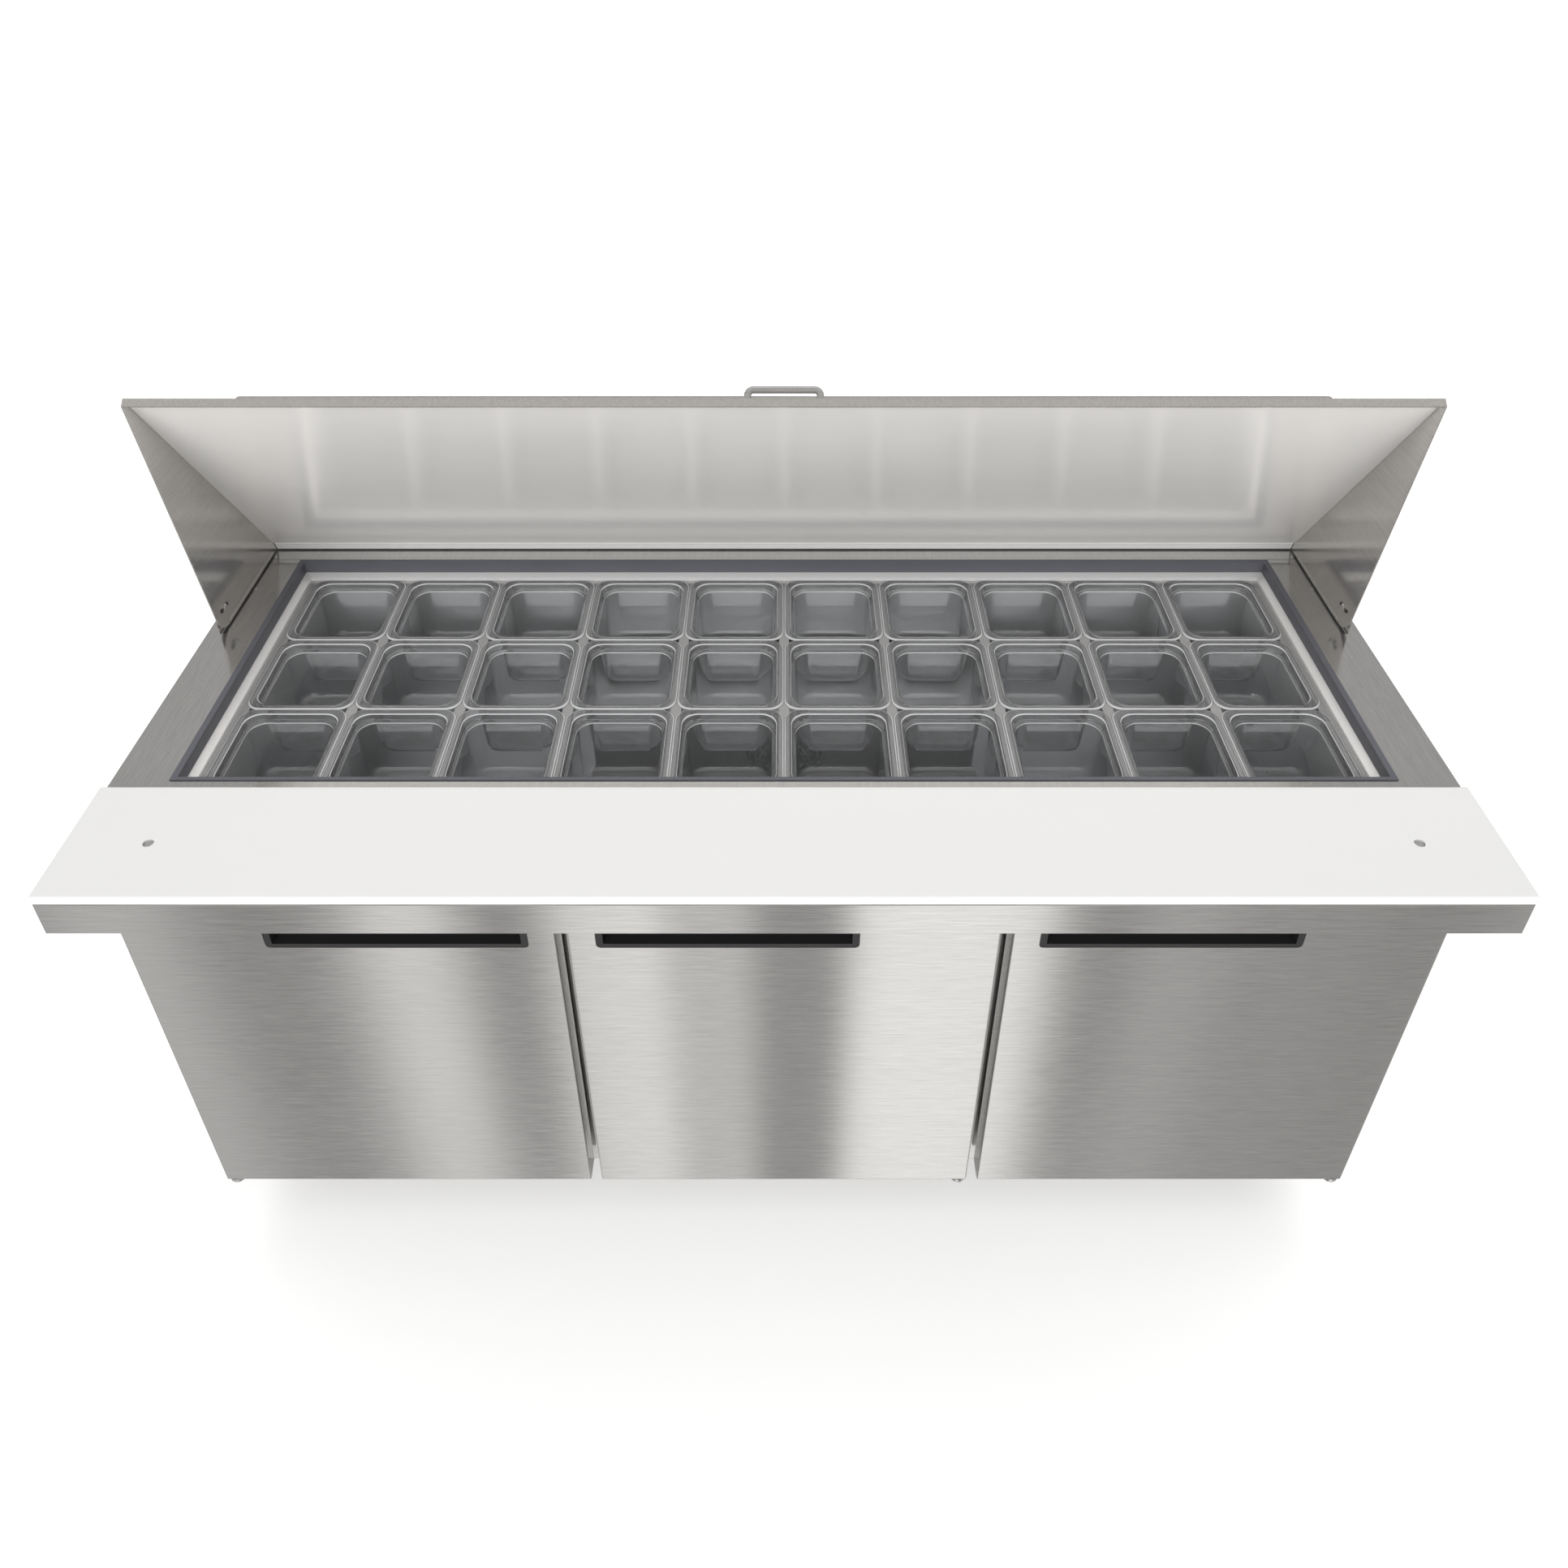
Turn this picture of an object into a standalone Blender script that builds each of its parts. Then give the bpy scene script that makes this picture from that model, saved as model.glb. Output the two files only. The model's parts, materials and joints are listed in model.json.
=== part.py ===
"""Three-door refrigerated sandwich prep table with a 30-pan well and a flip-up lid.

Units are metres and +Z is up. The origin is on the floor, below the middle of the table, and the
doors face -Y. Heights are often given as a drop below the top of the cutting board, and depths as
a distance behind the board's front edge: across(), behind() and below() turn them into X, Y and Z.
"""

import math

import bmesh
import bpy
from mathutils import Quaternion, Vector

# Driving dimensions
WIDTH = 1.829
DEPTH = 0.864
BOARD_TOP = 0.9345
LEG_HEIGHT = 0.127
SHEET = 0.002
GAP = 0.0003

# Cutting board and the nosing that carries it
BOARD_DEPTH = 0.198
BOARD_THICKNESS = 0.0125
WORKTOP_DROP = BOARD_THICKNESS + GAP
NOSING_DROP = 0.0655
PIN_X = 0.806
PIN_Y = 0.0928
PIN_RADIUS = 0.0063

# Insulated cabinet
CABINET_FRONT = 0.167
CABINET_BACK = 0.8615
CABINET_HALF_WIDTH = 0.911
CABINET_TOP = WORKTOP_DROP + SHEET + GAP
CABINET_BOTTOM = BOARD_TOP - LEG_HEIGHT
WALL = 0.045
FRAME_DEPTH = 0.045
MULLION = 0.060
OPENING_TOP = 0.175
BAY_BACK = 0.600
MACHINE_FRONT = 0.640
MACHINE_TOP = 0.420
UPPER_BAY_FLOOR = 0.375
UPPER_BAY_BACK = 0.817
LINER = 0.0015
LEDGE = 0.012

# Doors
DOOR_WIDTH = 0.596
DOOR_PITCH = 0.613
DOOR_FRONT = 0.1175
DOOR_THICKNESS = 0.0385
DOOR_TOP = 0.150
DOOR_BOTTOM = 0.7885
HINGE_INSET = 0.0125
HINGE_PIN_RADIUS = 0.0048
HINGE_BORE_RADIUS = 0.0053
GASKET_INSET = 0.014
GASKET_WIDTH = 0.020
CUP_WIDTH = 0.3645
CUP_HEIGHT = 0.070
CUP_DEPTH = 0.026
CUP_INSET = 0.038
DOORS = (("left", -1, -1), ("centre", 0, 1), ("right", 1, 1))

# Pan well
WELL_HALF_WIDTH = 0.8355
WELL_FRONT = 0.2235
WELL_BACK = 0.7865
FRAME_INNER_HALF_WIDTH = 0.8265
FRAME_INNER_FRONT = 0.2295
FRAME_INNER_BACK = 0.7765
FRAME_RISE = 0.0015
LEDGE_DROP = 0.0305
RACK_HALF_WIDTH = 0.8145
RACK_BACK = 0.7625
LEDGE_FALL = 0.0040

# Food pans
COLUMNS = 10
ROWS = 3
PAN_PITCH_X = 0.1613
PAN_PITCH_Y = 0.1766
PAN_WIDTH = 0.1595
PAN_LENGTH = 0.1750
PAN_BACK = 0.7605
PAN_DROP = 0.0360
PAN_DEPTH = 0.100
PAN_RIM = 0.003
PAN_RIM_WIDTH = 0.011
PAN_WALL = 0.0025
PAN_TAPER = 0.007
PAN_CORNER = 0.026
BAR_WIDTH = 0.016
BAR_HEIGHT = 0.012

# Lid, in its raised position
LID_ANGLE = math.radians(52.7)
LID_TIP = (0.4978, -0.4251)
LID_HALF_WIDTH = 0.889
LID_LIP = 0.0125
LID_RISE = 0.010
LID_TAIL = 0.5434
PIVOT = (0.590, -0.0225)
PIVOT_CLEARANCE = 0.0325
PIVOT_RADIUS = 0.0040

# Fixed hood behind the lid
HOOD_HALF_WIDTH = 0.8925
HOOD_NOSE = 0.560
HOOD_LIP = (0.648, -0.2555)
HOOD_CREST = (0.832, -0.2772)
HOOD_BEND = 0.005

# Wire shelves
SHELF_DROP = 0.500
SHELF_WIDTH = 0.548
SHELF_PITCH = 0.5865
SHELF_FRONT = 0.2155
SHELF_BACK = 0.5970
WIRE = 0.005
SHELF_WIRES = 9

# Refrigeration
FAN_DEPTH = 0.018
EVAPORATOR_FAN = (0.0, 0.632, 0.275)
CONDENSER_FAN = (0.235, 0.770, 0.630)


def across(x):
    """X of a point x to the right of the table's middle."""
    return x


def behind(distance):
    """Y of a point this far behind the cutting board's front edge."""
    return distance - DEPTH / 2


def below(drop):
    """Z of a point this far below the cutting board's top."""
    return BOARD_TOP - drop


def point(x, distance, drop):
    return Vector((across(x), behind(distance), below(drop)))


# ---------------------------------------------------------------- materials

def material(name, colour, roughness, metallic=0.0, alpha=1.0):
    found = bpy.data.materials.get(name)
    if found:
        return found
    made = bpy.data.materials.new(name)
    made.use_nodes = True
    shader = made.node_tree.nodes["Principled BSDF"]
    shader.inputs["Base Color"].default_value = (*colour, 1.0)
    shader.inputs["Roughness"].default_value = roughness
    shader.inputs["Metallic"].default_value = metallic
    shader.inputs["Alpha"].default_value = alpha
    made.diffuse_color = (*colour, alpha)
    return made


def steel():
    return material("brushed_stainless", (0.62, 0.61, 0.60), 0.32, 1.0)


def liner_steel():
    return material("satin_liner_steel", (0.74, 0.72, 0.70), 0.25, 1.0)


def aluminium():
    return material("liner_aluminium", (0.70, 0.71, 0.72), 0.40, 1.0)


def galvanised():
    return material("galvanised_steel", (0.48, 0.49, 0.50), 0.50, 1.0)


def polythene():
    return material("white_polythene", (0.88, 0.88, 0.87), 0.45)


def frame_plastic():
    return material("grey_frame_plastic", (0.15, 0.155, 0.18), 0.40)


def pan_plastic():
    return material("clear_polycarbonate", (0.62, 0.64, 0.66), 0.12, alpha=0.35)


def black_plastic():
    return material("black_plastic", (0.02, 0.02, 0.022), 0.35)


def gasket_rubber():
    return material("gasket_rubber", (0.05, 0.05, 0.05), 0.7)


def black_enamel():
    return material("black_enamel", (0.03, 0.03, 0.03), 0.3)


def copper():
    return material("copper", (0.72, 0.35, 0.22), 0.35, 1.0)


# ---------------------------------------------------------------- modelling helpers

def axis_empty(name, position):
    """An empty that stands on a joint's axis and carries the pieces that turn or slide."""
    empty = bpy.data.objects.new(name, None)
    empty.empty_display_size = 0.05
    empty.location = position
    bpy.context.scene.collection.objects.link(empty)
    return empty


def add_object(name, data, position, surface, parent=None):
    """Link an object whose origin is at position, in world coordinates."""
    made = bpy.data.objects.new(name, data)
    bpy.context.scene.collection.objects.link(made)
    made.location = position
    if parent:
        made.parent = parent
        made.location = Vector(position) - parent.location
    if surface and not data.materials:
        data.materials.append(surface)
    return made


def loft(name, sections, surface, position=(0, 0, 0), parent=None):
    """A closed solid skinned through sections that all have the same number of points."""
    shape = bmesh.new()
    rings = [[shape.verts.new(corner) for corner in section] for section in sections]
    for near, far in zip(rings, rings[1:]):
        for i, corner in enumerate(near):
            j = (i + 1) % len(near)
            shape.faces.new((corner, near[j], far[j], far[i]))
    shape.faces.new(reversed(rings[0]))
    shape.faces.new(rings[-1])
    bmesh.ops.recalc_face_normals(shape, faces=shape.faces)
    mesh = bpy.data.meshes.new(name)
    shape.to_mesh(mesh)
    shape.free()
    return add_object(name, mesh, position, surface, parent)


def block(name, low, high, surface, parent=None):
    """A box between two world corners, with its origin at its centre."""
    low = Vector(low)
    high = Vector(high)
    half = (high - low) / 2
    outline = [(-half.x, -half.y), (half.x, -half.y), (half.x, half.y), (-half.x, half.y)]
    sections = [[(x, y, z) for x, y in outline] for z in (-half.z, half.z)]
    return loft(name, sections, surface, (low + high) / 2, parent)


def span(name, x_range, distance_range, drop_range, surface, parent=None):
    """A box given by ranges of x, of distance behind the front edge and of drop below the board."""
    low = point(x_range[0], distance_range[0], max(drop_range))
    high = point(x_range[1], distance_range[1], min(drop_range))
    return block(name, low, high, surface, parent)


def profile_along_x(name, outline, x_range, surface, position=(0, 0, 0), parent=None):
    """A solid with one outline of (distance, drop) points, extruded along X."""
    origin = Vector(position)
    sections = [[point(x, distance, drop) - origin for distance, drop in outline] for x in x_range]
    return loft(name, sections, surface, origin, parent)


def circle(radius, sides):
    return [(radius * math.cos(2 * math.pi * i / sides), radius * math.sin(2 * math.pi * i / sides))
            for i in range(sides)]


def rounded_rectangle(width, length, radius, steps):
    """Corner points of a rectangle with rounded corners, centred on the origin."""
    outline = []
    for quarter in range(4):
        sign_x = (1, -1, -1, 1)[quarter]
        sign_y = (1, 1, -1, -1)[quarter]
        for step in range(steps + 1):
            angle = math.radians(90) * (quarter + step / steps)
            x = sign_x * (width / 2 - radius) + radius * math.cos(angle)
            y = sign_y * (length / 2 - radius) + radius * math.sin(angle)
            outline.append((x, y))
    return outline


def turned(name, profile, axis, position, surface, sides=16, parent=None):
    """A solid of revolution: profile is (radius, distance along axis) from one end to the other."""
    spin = {
        "X": lambda a, b, along: (along, a, b),
        "Y": lambda a, b, along: (a, along, b),
        "Z": lambda a, b, along: (a, b, along),
    }[axis]
    sections = [[spin(a, b, along) for a, b in circle(radius, sides)] for radius, along in profile]
    made = loft(name, sections, surface, position, parent)
    smooth(made)
    return made


def smooth(made, degrees=35):
    made.data.shade_smooth()
    made.data.set_sharp_from_angle(angle=math.radians(degrees))


def combine(target, tool, operation):
    """Add a Boolean modifier, and hide its tool from renders."""
    step = target.modifiers.new(f"{operation.lower()}_{tool.name}", "BOOLEAN")
    step.operation = operation
    step.object = tool
    tool.hide_render = True
    tool.display_type = "WIRE"


def cut(target, *tools):
    for tool in tools:
        combine(target, tool, "DIFFERENCE")


def join(target, *tools):
    for tool in tools:
        combine(target, tool, "UNION")


def round_edges(made, width, segments=2, degrees=40):
    bevel = made.modifiers.new("rounded_edges", "BEVEL")
    bevel.width = width
    bevel.segments = segments
    bevel.limit_method = "ANGLE"
    bevel.angle_limit = math.radians(degrees)


def baked_mesh(made, name):
    """The evaluated mesh of an object in world coordinates; the object and its tools go."""
    tools = [step.object for step in made.modifiers if step.type == "BOOLEAN"]
    evaluated = made.evaluated_get(bpy.context.evaluated_depsgraph_get())
    mesh = bpy.data.meshes.new_from_object(evaluated)
    mesh.transform(evaluated.matrix_world)
    mesh.name = name
    for extra in [made] + tools:
        bpy.data.objects.remove(extra)
    return mesh


def rod(name, route, radius, surface, position=(0, 0, 0), parent=None, resolution=2):
    """A round bar or tube along a smooth list of points."""
    curve = bpy.data.curves.new(name, "CURVE")
    curve.dimensions = "3D"
    curve.bevel_depth = radius
    curve.bevel_resolution = resolution
    curve.use_fill_caps = True
    line = curve.splines.new("POLY")
    line.points.add(len(route) - 1)
    for knot, place in zip(line.points, route):
        knot.co = (*(Vector(place) - Vector(position)), 1.0)
    return add_object(name, curve, position, surface, parent)


def bend(corner, start, end, radius, steps):
    """Points of a round bend at corner, between the straight runs from start and to end."""
    corner = Vector(corner)
    towards_start = (Vector(start) - corner).normalized()
    towards_end = (Vector(end) - corner).normalized()
    half_angle = towards_start.angle(towards_end) / 2
    middle = corner + (towards_start + towards_end).normalized() * radius / math.sin(half_angle)
    first = corner + towards_start * radius / math.tan(half_angle) - middle
    last = corner + towards_end * radius / math.tan(half_angle) - middle
    turn = first.rotation_difference(last)
    return [middle + Quaternion().slerp(turn, step / steps) @ first for step in range(steps + 1)]


# ---------------------------------------------------------------- cabinet

def make_cabinet_shell():
    """Insulated body, open at the front for three doors and at the top for the pan well."""
    half = CABINET_HALF_WIDTH
    shell = span("cabinet_shell", (-half, half), (CABINET_FRONT, CABINET_BACK),
                 (CABINET_BOTTOM, CABINET_TOP), steel())
    inner = half - WALL
    floor = CABINET_BOTTOM - WALL
    deep_bay = span("cut_deep_bay", (-inner, inner), (CABINET_FRONT + FRAME_DEPTH, BAY_BACK),
                    (floor, 0.0), None)
    high_bay = span("cut_high_bay", (-inner, inner), (BAY_BACK - 0.01, UPPER_BAY_BACK),
                    (UPPER_BAY_FLOOR, 0.0), None)
    machine_bay = span("cut_machine_bay", (-inner, inner), (MACHINE_FRONT, DEPTH),
                       (CABINET_BOTTOM - SHEET - SHEET, MACHINE_TOP), None)
    well_slot = span("cut_well_slot", (-inner, inner), (WELL_FRONT + SHEET, BAY_BACK),
                     (OPENING_TOP, 0.0), None)
    cut(shell, deep_bay, high_bay, machine_bay, well_slot)
    edge = DOOR_PITCH / 2
    openings = ((-inner, -edge - MULLION / 2), (-edge + MULLION / 2, edge - MULLION / 2),
                (edge + MULLION / 2, inner))
    for number, x_range in enumerate(openings):
        opening = span(f"cut_door_opening_{number}", x_range,
                       (CABINET_FRONT - 0.01, CABINET_FRONT + FRAME_DEPTH + 0.01),
                       (floor, OPENING_TOP), None)
        cut(shell, opening)
    for side in (-1, 1):
        post_ledge = span(f"add_post_ledge_{side}", (side * edge - MULLION / 2, side * edge + MULLION / 2),
                          (CABINET_FRONT + FRAME_DEPTH - 0.005, CABINET_FRONT + FRAME_DEPTH + LEDGE),
                          (SHELF_DROP + 0.020, SHELF_DROP + GAP), None)
        join(shell, post_ledge)


def make_cabinet_liner():
    """Thin aluminium skin inside the insulation, with the ledges that the shelves rest on."""
    half = CABINET_HALF_WIDTH - WALL - GAP
    inner = half - LINER
    floor = CABINET_BOTTOM - WALL - GAP
    front = CABINET_FRONT + FRAME_DEPTH + GAP
    top = CABINET_TOP + 0.010
    liner = span("cabinet_liner", (-half, half), (front, BAY_BACK - GAP), (floor, top), aluminium())
    upper = span("add_liner_upper", (-half, half), (BAY_BACK - 0.02, UPPER_BAY_BACK - GAP),
                 (UPPER_BAY_FLOOR - GAP, top), None)
    lower_hollow = span("cut_liner_lower", (-inner, inner), (front - 0.01, BAY_BACK - GAP - LINER),
                        (floor - LINER, 0.0), None)
    upper_hollow = span("cut_liner_upper", (-inner, inner), (BAY_BACK - 0.03, UPPER_BAY_BACK - GAP - LINER),
                        (UPPER_BAY_FLOOR - GAP - LINER, 0.0), None)
    front_slot = span("cut_liner_front_slot", (-half - 0.01, half + 0.01),
                      (front - 0.01, WELL_FRONT + 0.01), (OPENING_TOP, 0.0), None)
    join(liner, upper)
    cut(liner, lower_hollow, upper_hollow, front_slot)
    ledge_drops = (SHELF_DROP + 0.020, SHELF_DROP + GAP)
    rear_ledge = span("add_rear_ledge", (-half + 0.0005, half - 0.0005),
                      (BAY_BACK - GAP - LINER - LEDGE, BAY_BACK - GAP - LINER / 2), ledge_drops, None)
    join(liner, rear_ledge)
    for side in (-1, 1):
        reach = sorted((side * (inner - LEDGE), side * (inner + LINER / 2)))
        side_ledge = span(f"add_side_ledge_{side}", reach, (front + 0.02, BAY_BACK - 0.01),
                          ledge_drops, None)
        join(liner, side_ledge)


def make_rear_grille():
    """Louvred panel over the machine compartment, with a window for the temperature control."""
    half = CABINET_HALF_WIDTH - WALL - 0.001
    panel = span("rear_grille", (-half, half), (CABINET_BACK - SHEET, CABINET_BACK),
                 (CABINET_BOTTOM - 0.005, MACHINE_TOP + 0.001), steel())
    slot_height = 0.010
    slot_pitch = 0.034
    for column, centre in enumerate((-0.55, -0.05)):
        for row in range(9):
            drop = MACHINE_TOP + 0.05 + row * slot_pitch
            slot = span(f"cut_louvre_{column}_{row}", (centre - 0.20, centre + 0.20),
                        (CABINET_BACK - 0.01, CABINET_BACK + 0.01), (drop + slot_height, drop), None)
            cut(panel, slot)
    window = span("cut_control_window", (0.52, 0.68), (CABINET_BACK - 0.01, CABINET_BACK + 0.01),
                  (0.62, 0.53), None)
    cut(panel, window)


def make_legs():
    """Four adjustable bullet-foot legs, each turned in one piece with its round mounting flange."""
    height = LEG_HEIGHT - GAP
    profile = [(0.012, 0.0), (0.019, 0.006), (0.019, 0.030), (0.015, 0.034), (0.022, 0.040),
               (0.022, height - 0.004), (0.045, height - 0.004), (0.045, height)]
    for end, distance in (("front", 0.235), ("rear", 0.800)):
        for side, x in (("left", -0.830), ("right", 0.830)):
            place = (across(x), behind(distance), 0.0)
            turned(f"leg_{end}_{side}", profile, "Z", place, steel())


# ---------------------------------------------------------------- worktop and board

def make_worktop():
    """Stainless deck behind the board, with turned-down edges and the well cut-out."""
    half = WIDTH / 2
    apron = 0.030
    front = CABINET_FRONT + SHEET
    deck = span("worktop", (-half, half), (front, DEPTH), (WORKTOP_DROP + apron, WORKTOP_DROP), steel())
    underside = span("cut_deck_underside", (-half + SHEET, half - SHEET), (front - 0.01, DEPTH - SHEET),
                     (WORKTOP_DROP + apron + 0.01, WORKTOP_DROP + SHEET), None)
    edge = 0.003
    cut_out = span("cut_well", (-WELL_HALF_WIDTH + edge, WELL_HALF_WIDTH - edge),
                   (WELL_FRONT + edge / 2, WELL_BACK - edge), (0.05, 0.0), None)
    cut(deck, underside, cut_out)


def make_nosing():
    """Folded stainless nosing that carries the cutting board in front of the cabinet."""
    half = WIDTH / 2 - 0.001
    back = CABINET_FRONT + SHEET - GAP
    body = span("front_nosing", (-half, half), (0.001, back), (NOSING_DROP, WORKTOP_DROP), steel())
    round_edges(body, 0.0015, segments=1)
    hollow = span("cut_nosing_hollow", (-half + SHEET, half - SHEET), (0.001 + SHEET, back - SHEET),
                  (NOSING_DROP - SHEET, WORKTOP_DROP + SHEET), None)
    opening = span("cut_nosing_opening", (-half + 0.016, half - 0.016), (0.017, back - 0.016),
                   (NOSING_DROP + 0.01, NOSING_DROP - 0.01), None)
    notch = span("cut_nosing_notch", (-half - 0.01, half + 0.01), (CABINET_FRONT - GAP, back + 0.01),
                 (NOSING_DROP + 0.01, WORKTOP_DROP + SHEET), None)
    cut(body, hollow, opening, notch)


def make_cutting_board():
    """White board with eased edges and a hole over each locating pin."""
    board = span("cutting_board", (-WIDTH / 2, WIDTH / 2), (0.0, BOARD_DEPTH), (BOARD_THICKNESS, 0.0),
                 polythene())
    round_edges(board, 0.0025)
    for side in (-1, 1):
        hole = turned(f"cut_pin_hole_{side}", [(PIN_RADIUS + 0.0007, -0.02), (PIN_RADIUS + 0.0007, 0.02)],
                      "Z", point(side * PIN_X, PIN_Y, BOARD_THICKNESS / 2), None)
        cut(board, hole)


def make_board_pins():
    for side, sign in (("left", -1), ("right", 1)):
        height = BOARD_THICKNESS - 0.0015
        profile = [(PIN_RADIUS, GAP), (PIN_RADIUS, height - 0.001), (PIN_RADIUS - 0.001, height)]
        turned(f"board_pin_{side}", profile, "Z", point(sign * PIN_X, PIN_Y, WORKTOP_DROP), steel())


# ---------------------------------------------------------------- pan well

def rectangle(half_width, front, back, drop):
    """Four corners of a level rectangle, symmetric about the middle."""
    return [point(-half_width, front, drop), point(half_width, front, drop),
            point(half_width, back, drop), point(-half_width, back, drop)]


def ring(name, outer, inner, surface):
    """A closed four-sided frame skinned between a list of outer and inner rectangles."""
    shape = bmesh.new()
    loops = [[shape.verts.new(corner) for corner in loop] for loop in outer + inner[::-1]]
    for near, far in zip(loops, loops[1:] + loops[:1]):
        for i in range(4):
            j = (i + 1) % 4
            shape.faces.new((near[i], near[j], far[j], far[i]))
    bmesh.ops.recalc_face_normals(shape, faces=shape.faces)
    mesh = bpy.data.meshes.new(name)
    shape.to_mesh(mesh)
    shape.free()
    return add_object(name, mesh, (0, 0, 0), surface)


def make_well_frame():
    """Plastic strip around the well: a flange on the deck and a leg down to the ledge."""
    flange_top = WORKTOP_DROP - GAP - FRAME_RISE
    flange_bottom = WORKTOP_DROP - GAP
    leg = 0.0020
    outer = [rectangle(WELL_HALF_WIDTH, WELL_FRONT, WELL_BACK, flange_top),
             rectangle(WELL_HALF_WIDTH, WELL_FRONT, WELL_BACK, flange_bottom),
             rectangle(FRAME_INNER_HALF_WIDTH + leg, FRAME_INNER_FRONT - leg, FRAME_INNER_BACK + leg,
                       flange_bottom),
             rectangle(FRAME_INNER_HALF_WIDTH + leg, FRAME_INNER_FRONT - leg, FRAME_INNER_BACK + leg,
                       LEDGE_DROP)]
    inner = [rectangle(FRAME_INNER_HALF_WIDTH, FRAME_INNER_FRONT, FRAME_INNER_BACK, flange_top),
             rectangle(FRAME_INNER_HALF_WIDTH, FRAME_INNER_FRONT, FRAME_INNER_BACK, LEDGE_DROP)]
    ring("well_frame", outer, inner, frame_plastic())


def make_well_liner():
    """Stainless collar of the well: a sloping ledge round the pans and walls below it."""
    skirt = 0.150
    outer_half = FRAME_INNER_HALF_WIDTH + 0.004
    outer_front = FRAME_INNER_FRONT - 0.0035
    outer_back = FRAME_INNER_BACK + 0.004
    front = FRAME_INNER_FRONT + GAP
    top = LEDGE_DROP + GAP
    low = LEDGE_DROP + LEDGE_FALL
    outer = [rectangle(outer_half, outer_front, outer_back, top),
             rectangle(outer_half, outer_front, outer_back, top + SHEET),
             rectangle(RACK_HALF_WIDTH + SHEET, front - SHEET, RACK_BACK + SHEET, low + SHEET),
             rectangle(RACK_HALF_WIDTH + SHEET, front - SHEET, RACK_BACK + SHEET, skirt)]
    inner = [rectangle(outer_half - 0.003, outer_front + 0.0015, outer_back - 0.003, top),
             rectangle(RACK_HALF_WIDTH, front, RACK_BACK, low),
             rectangle(RACK_HALF_WIDTH, front, RACK_BACK, low + SHEET),
             rectangle(RACK_HALF_WIDTH, front, RACK_BACK, skirt)]
    ring("well_liner", outer, inner, steel())


def make_pan_rack():
    """Ladder of divider bars that the pan rims rest on."""
    top = PAN_DROP + PAN_RIM + GAP
    drops = (top + BAR_HEIGHT, top)
    half = RACK_HALF_WIDTH - GAP
    front = FRAME_INNER_FRONT + 2 * GAP
    back = RACK_BACK - GAP
    rail = 0.0085
    rack = span("pan_rack", (-half, half), (front, back), drops, steel())
    edge = COLUMNS * PAN_PITCH_X / 2
    for column in range(COLUMNS):
        left = -edge + column * PAN_PITCH_X
        right = left + PAN_PITCH_X
        left += BAR_WIDTH / 2
        right -= BAR_WIDTH / 2
        bay = span(f"cut_rack_bay_{column}", (left, right), (front + rail, back - rail),
                   (top + 0.05, top - 0.05), None)
        cut(rack, bay)


def pan_column_mesh():
    """Three pans whose rims run together, hollow from above, with the origin at the rim's centre."""
    length = (ROWS - 1) * PAN_PITCH_Y + PAN_LENGTH
    steps = 2
    rim_outline = rounded_rectangle(PAN_WIDTH, length, PAN_CORNER, steps)
    column = loft("pan_column", [[(x, y, z) for x, y in rim_outline] for z in (-PAN_RIM, 0.0)], None)
    mouth_width = PAN_WIDTH - 2 * PAN_RIM_WIDTH
    mouth_length = PAN_LENGTH - 2 * PAN_RIM_WIDTH
    tubs = []
    hollows = []
    for row in range(ROWS):
        centre = (row - (ROWS - 1) / 2) * PAN_PITCH_Y
        for kind, growth, top, bottom in (("tub", PAN_WALL, -PAN_RIM / 2, -PAN_DEPTH),
                                          ("hollow", 0.0, 0.010, -PAN_DEPTH + PAN_WALL)):
            sections = []
            for level in (top, bottom):
                inset = PAN_TAPER * level / PAN_DEPTH
                outline = rounded_rectangle(mouth_width + 2 * (growth + inset),
                                            mouth_length + 2 * (growth + inset), PAN_CORNER, steps)
                sections.append([(x, y + centre, level) for x, y in outline])
            made = loft(f"{kind}_{row}", sections, None)
            (tubs if kind == "tub" else hollows).append(made)
    join(column, *tubs)
    cut(column, *hollows)
    return baked_mesh(column, "pan_column")


def make_pan_columns():
    mesh = pan_column_mesh()
    middle = PAN_BACK - (ROWS * PAN_PITCH_Y) / 2
    for column in range(COLUMNS):
        x = (column - (COLUMNS - 1) / 2) * PAN_PITCH_X
        add_object(f"pan_column_{column + 1:02d}", mesh, point(x, middle, PAN_DROP), pan_plastic())


# ---------------------------------------------------------------- lid and hood

def lid_point(along, out):
    """(distance, drop) of a point on the raised lid, along from its tip and out from its skin."""
    distance = LID_TIP[0] + along * math.cos(LID_ANGLE) + out * math.sin(LID_ANGLE)
    drop = LID_TIP[1] + along * math.sin(LID_ANGLE) - out * math.cos(LID_ANGLE)
    return distance, drop


def lid_skin():
    """Outer line of the lid's section, from the tip of its lip to its tail."""
    return [(0.0, -LID_LIP), (0.0, 0.0), (0.025, LID_RISE), (0.495, LID_RISE), (0.520, 0.002),
            (LID_TAIL, -0.0045)]


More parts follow.
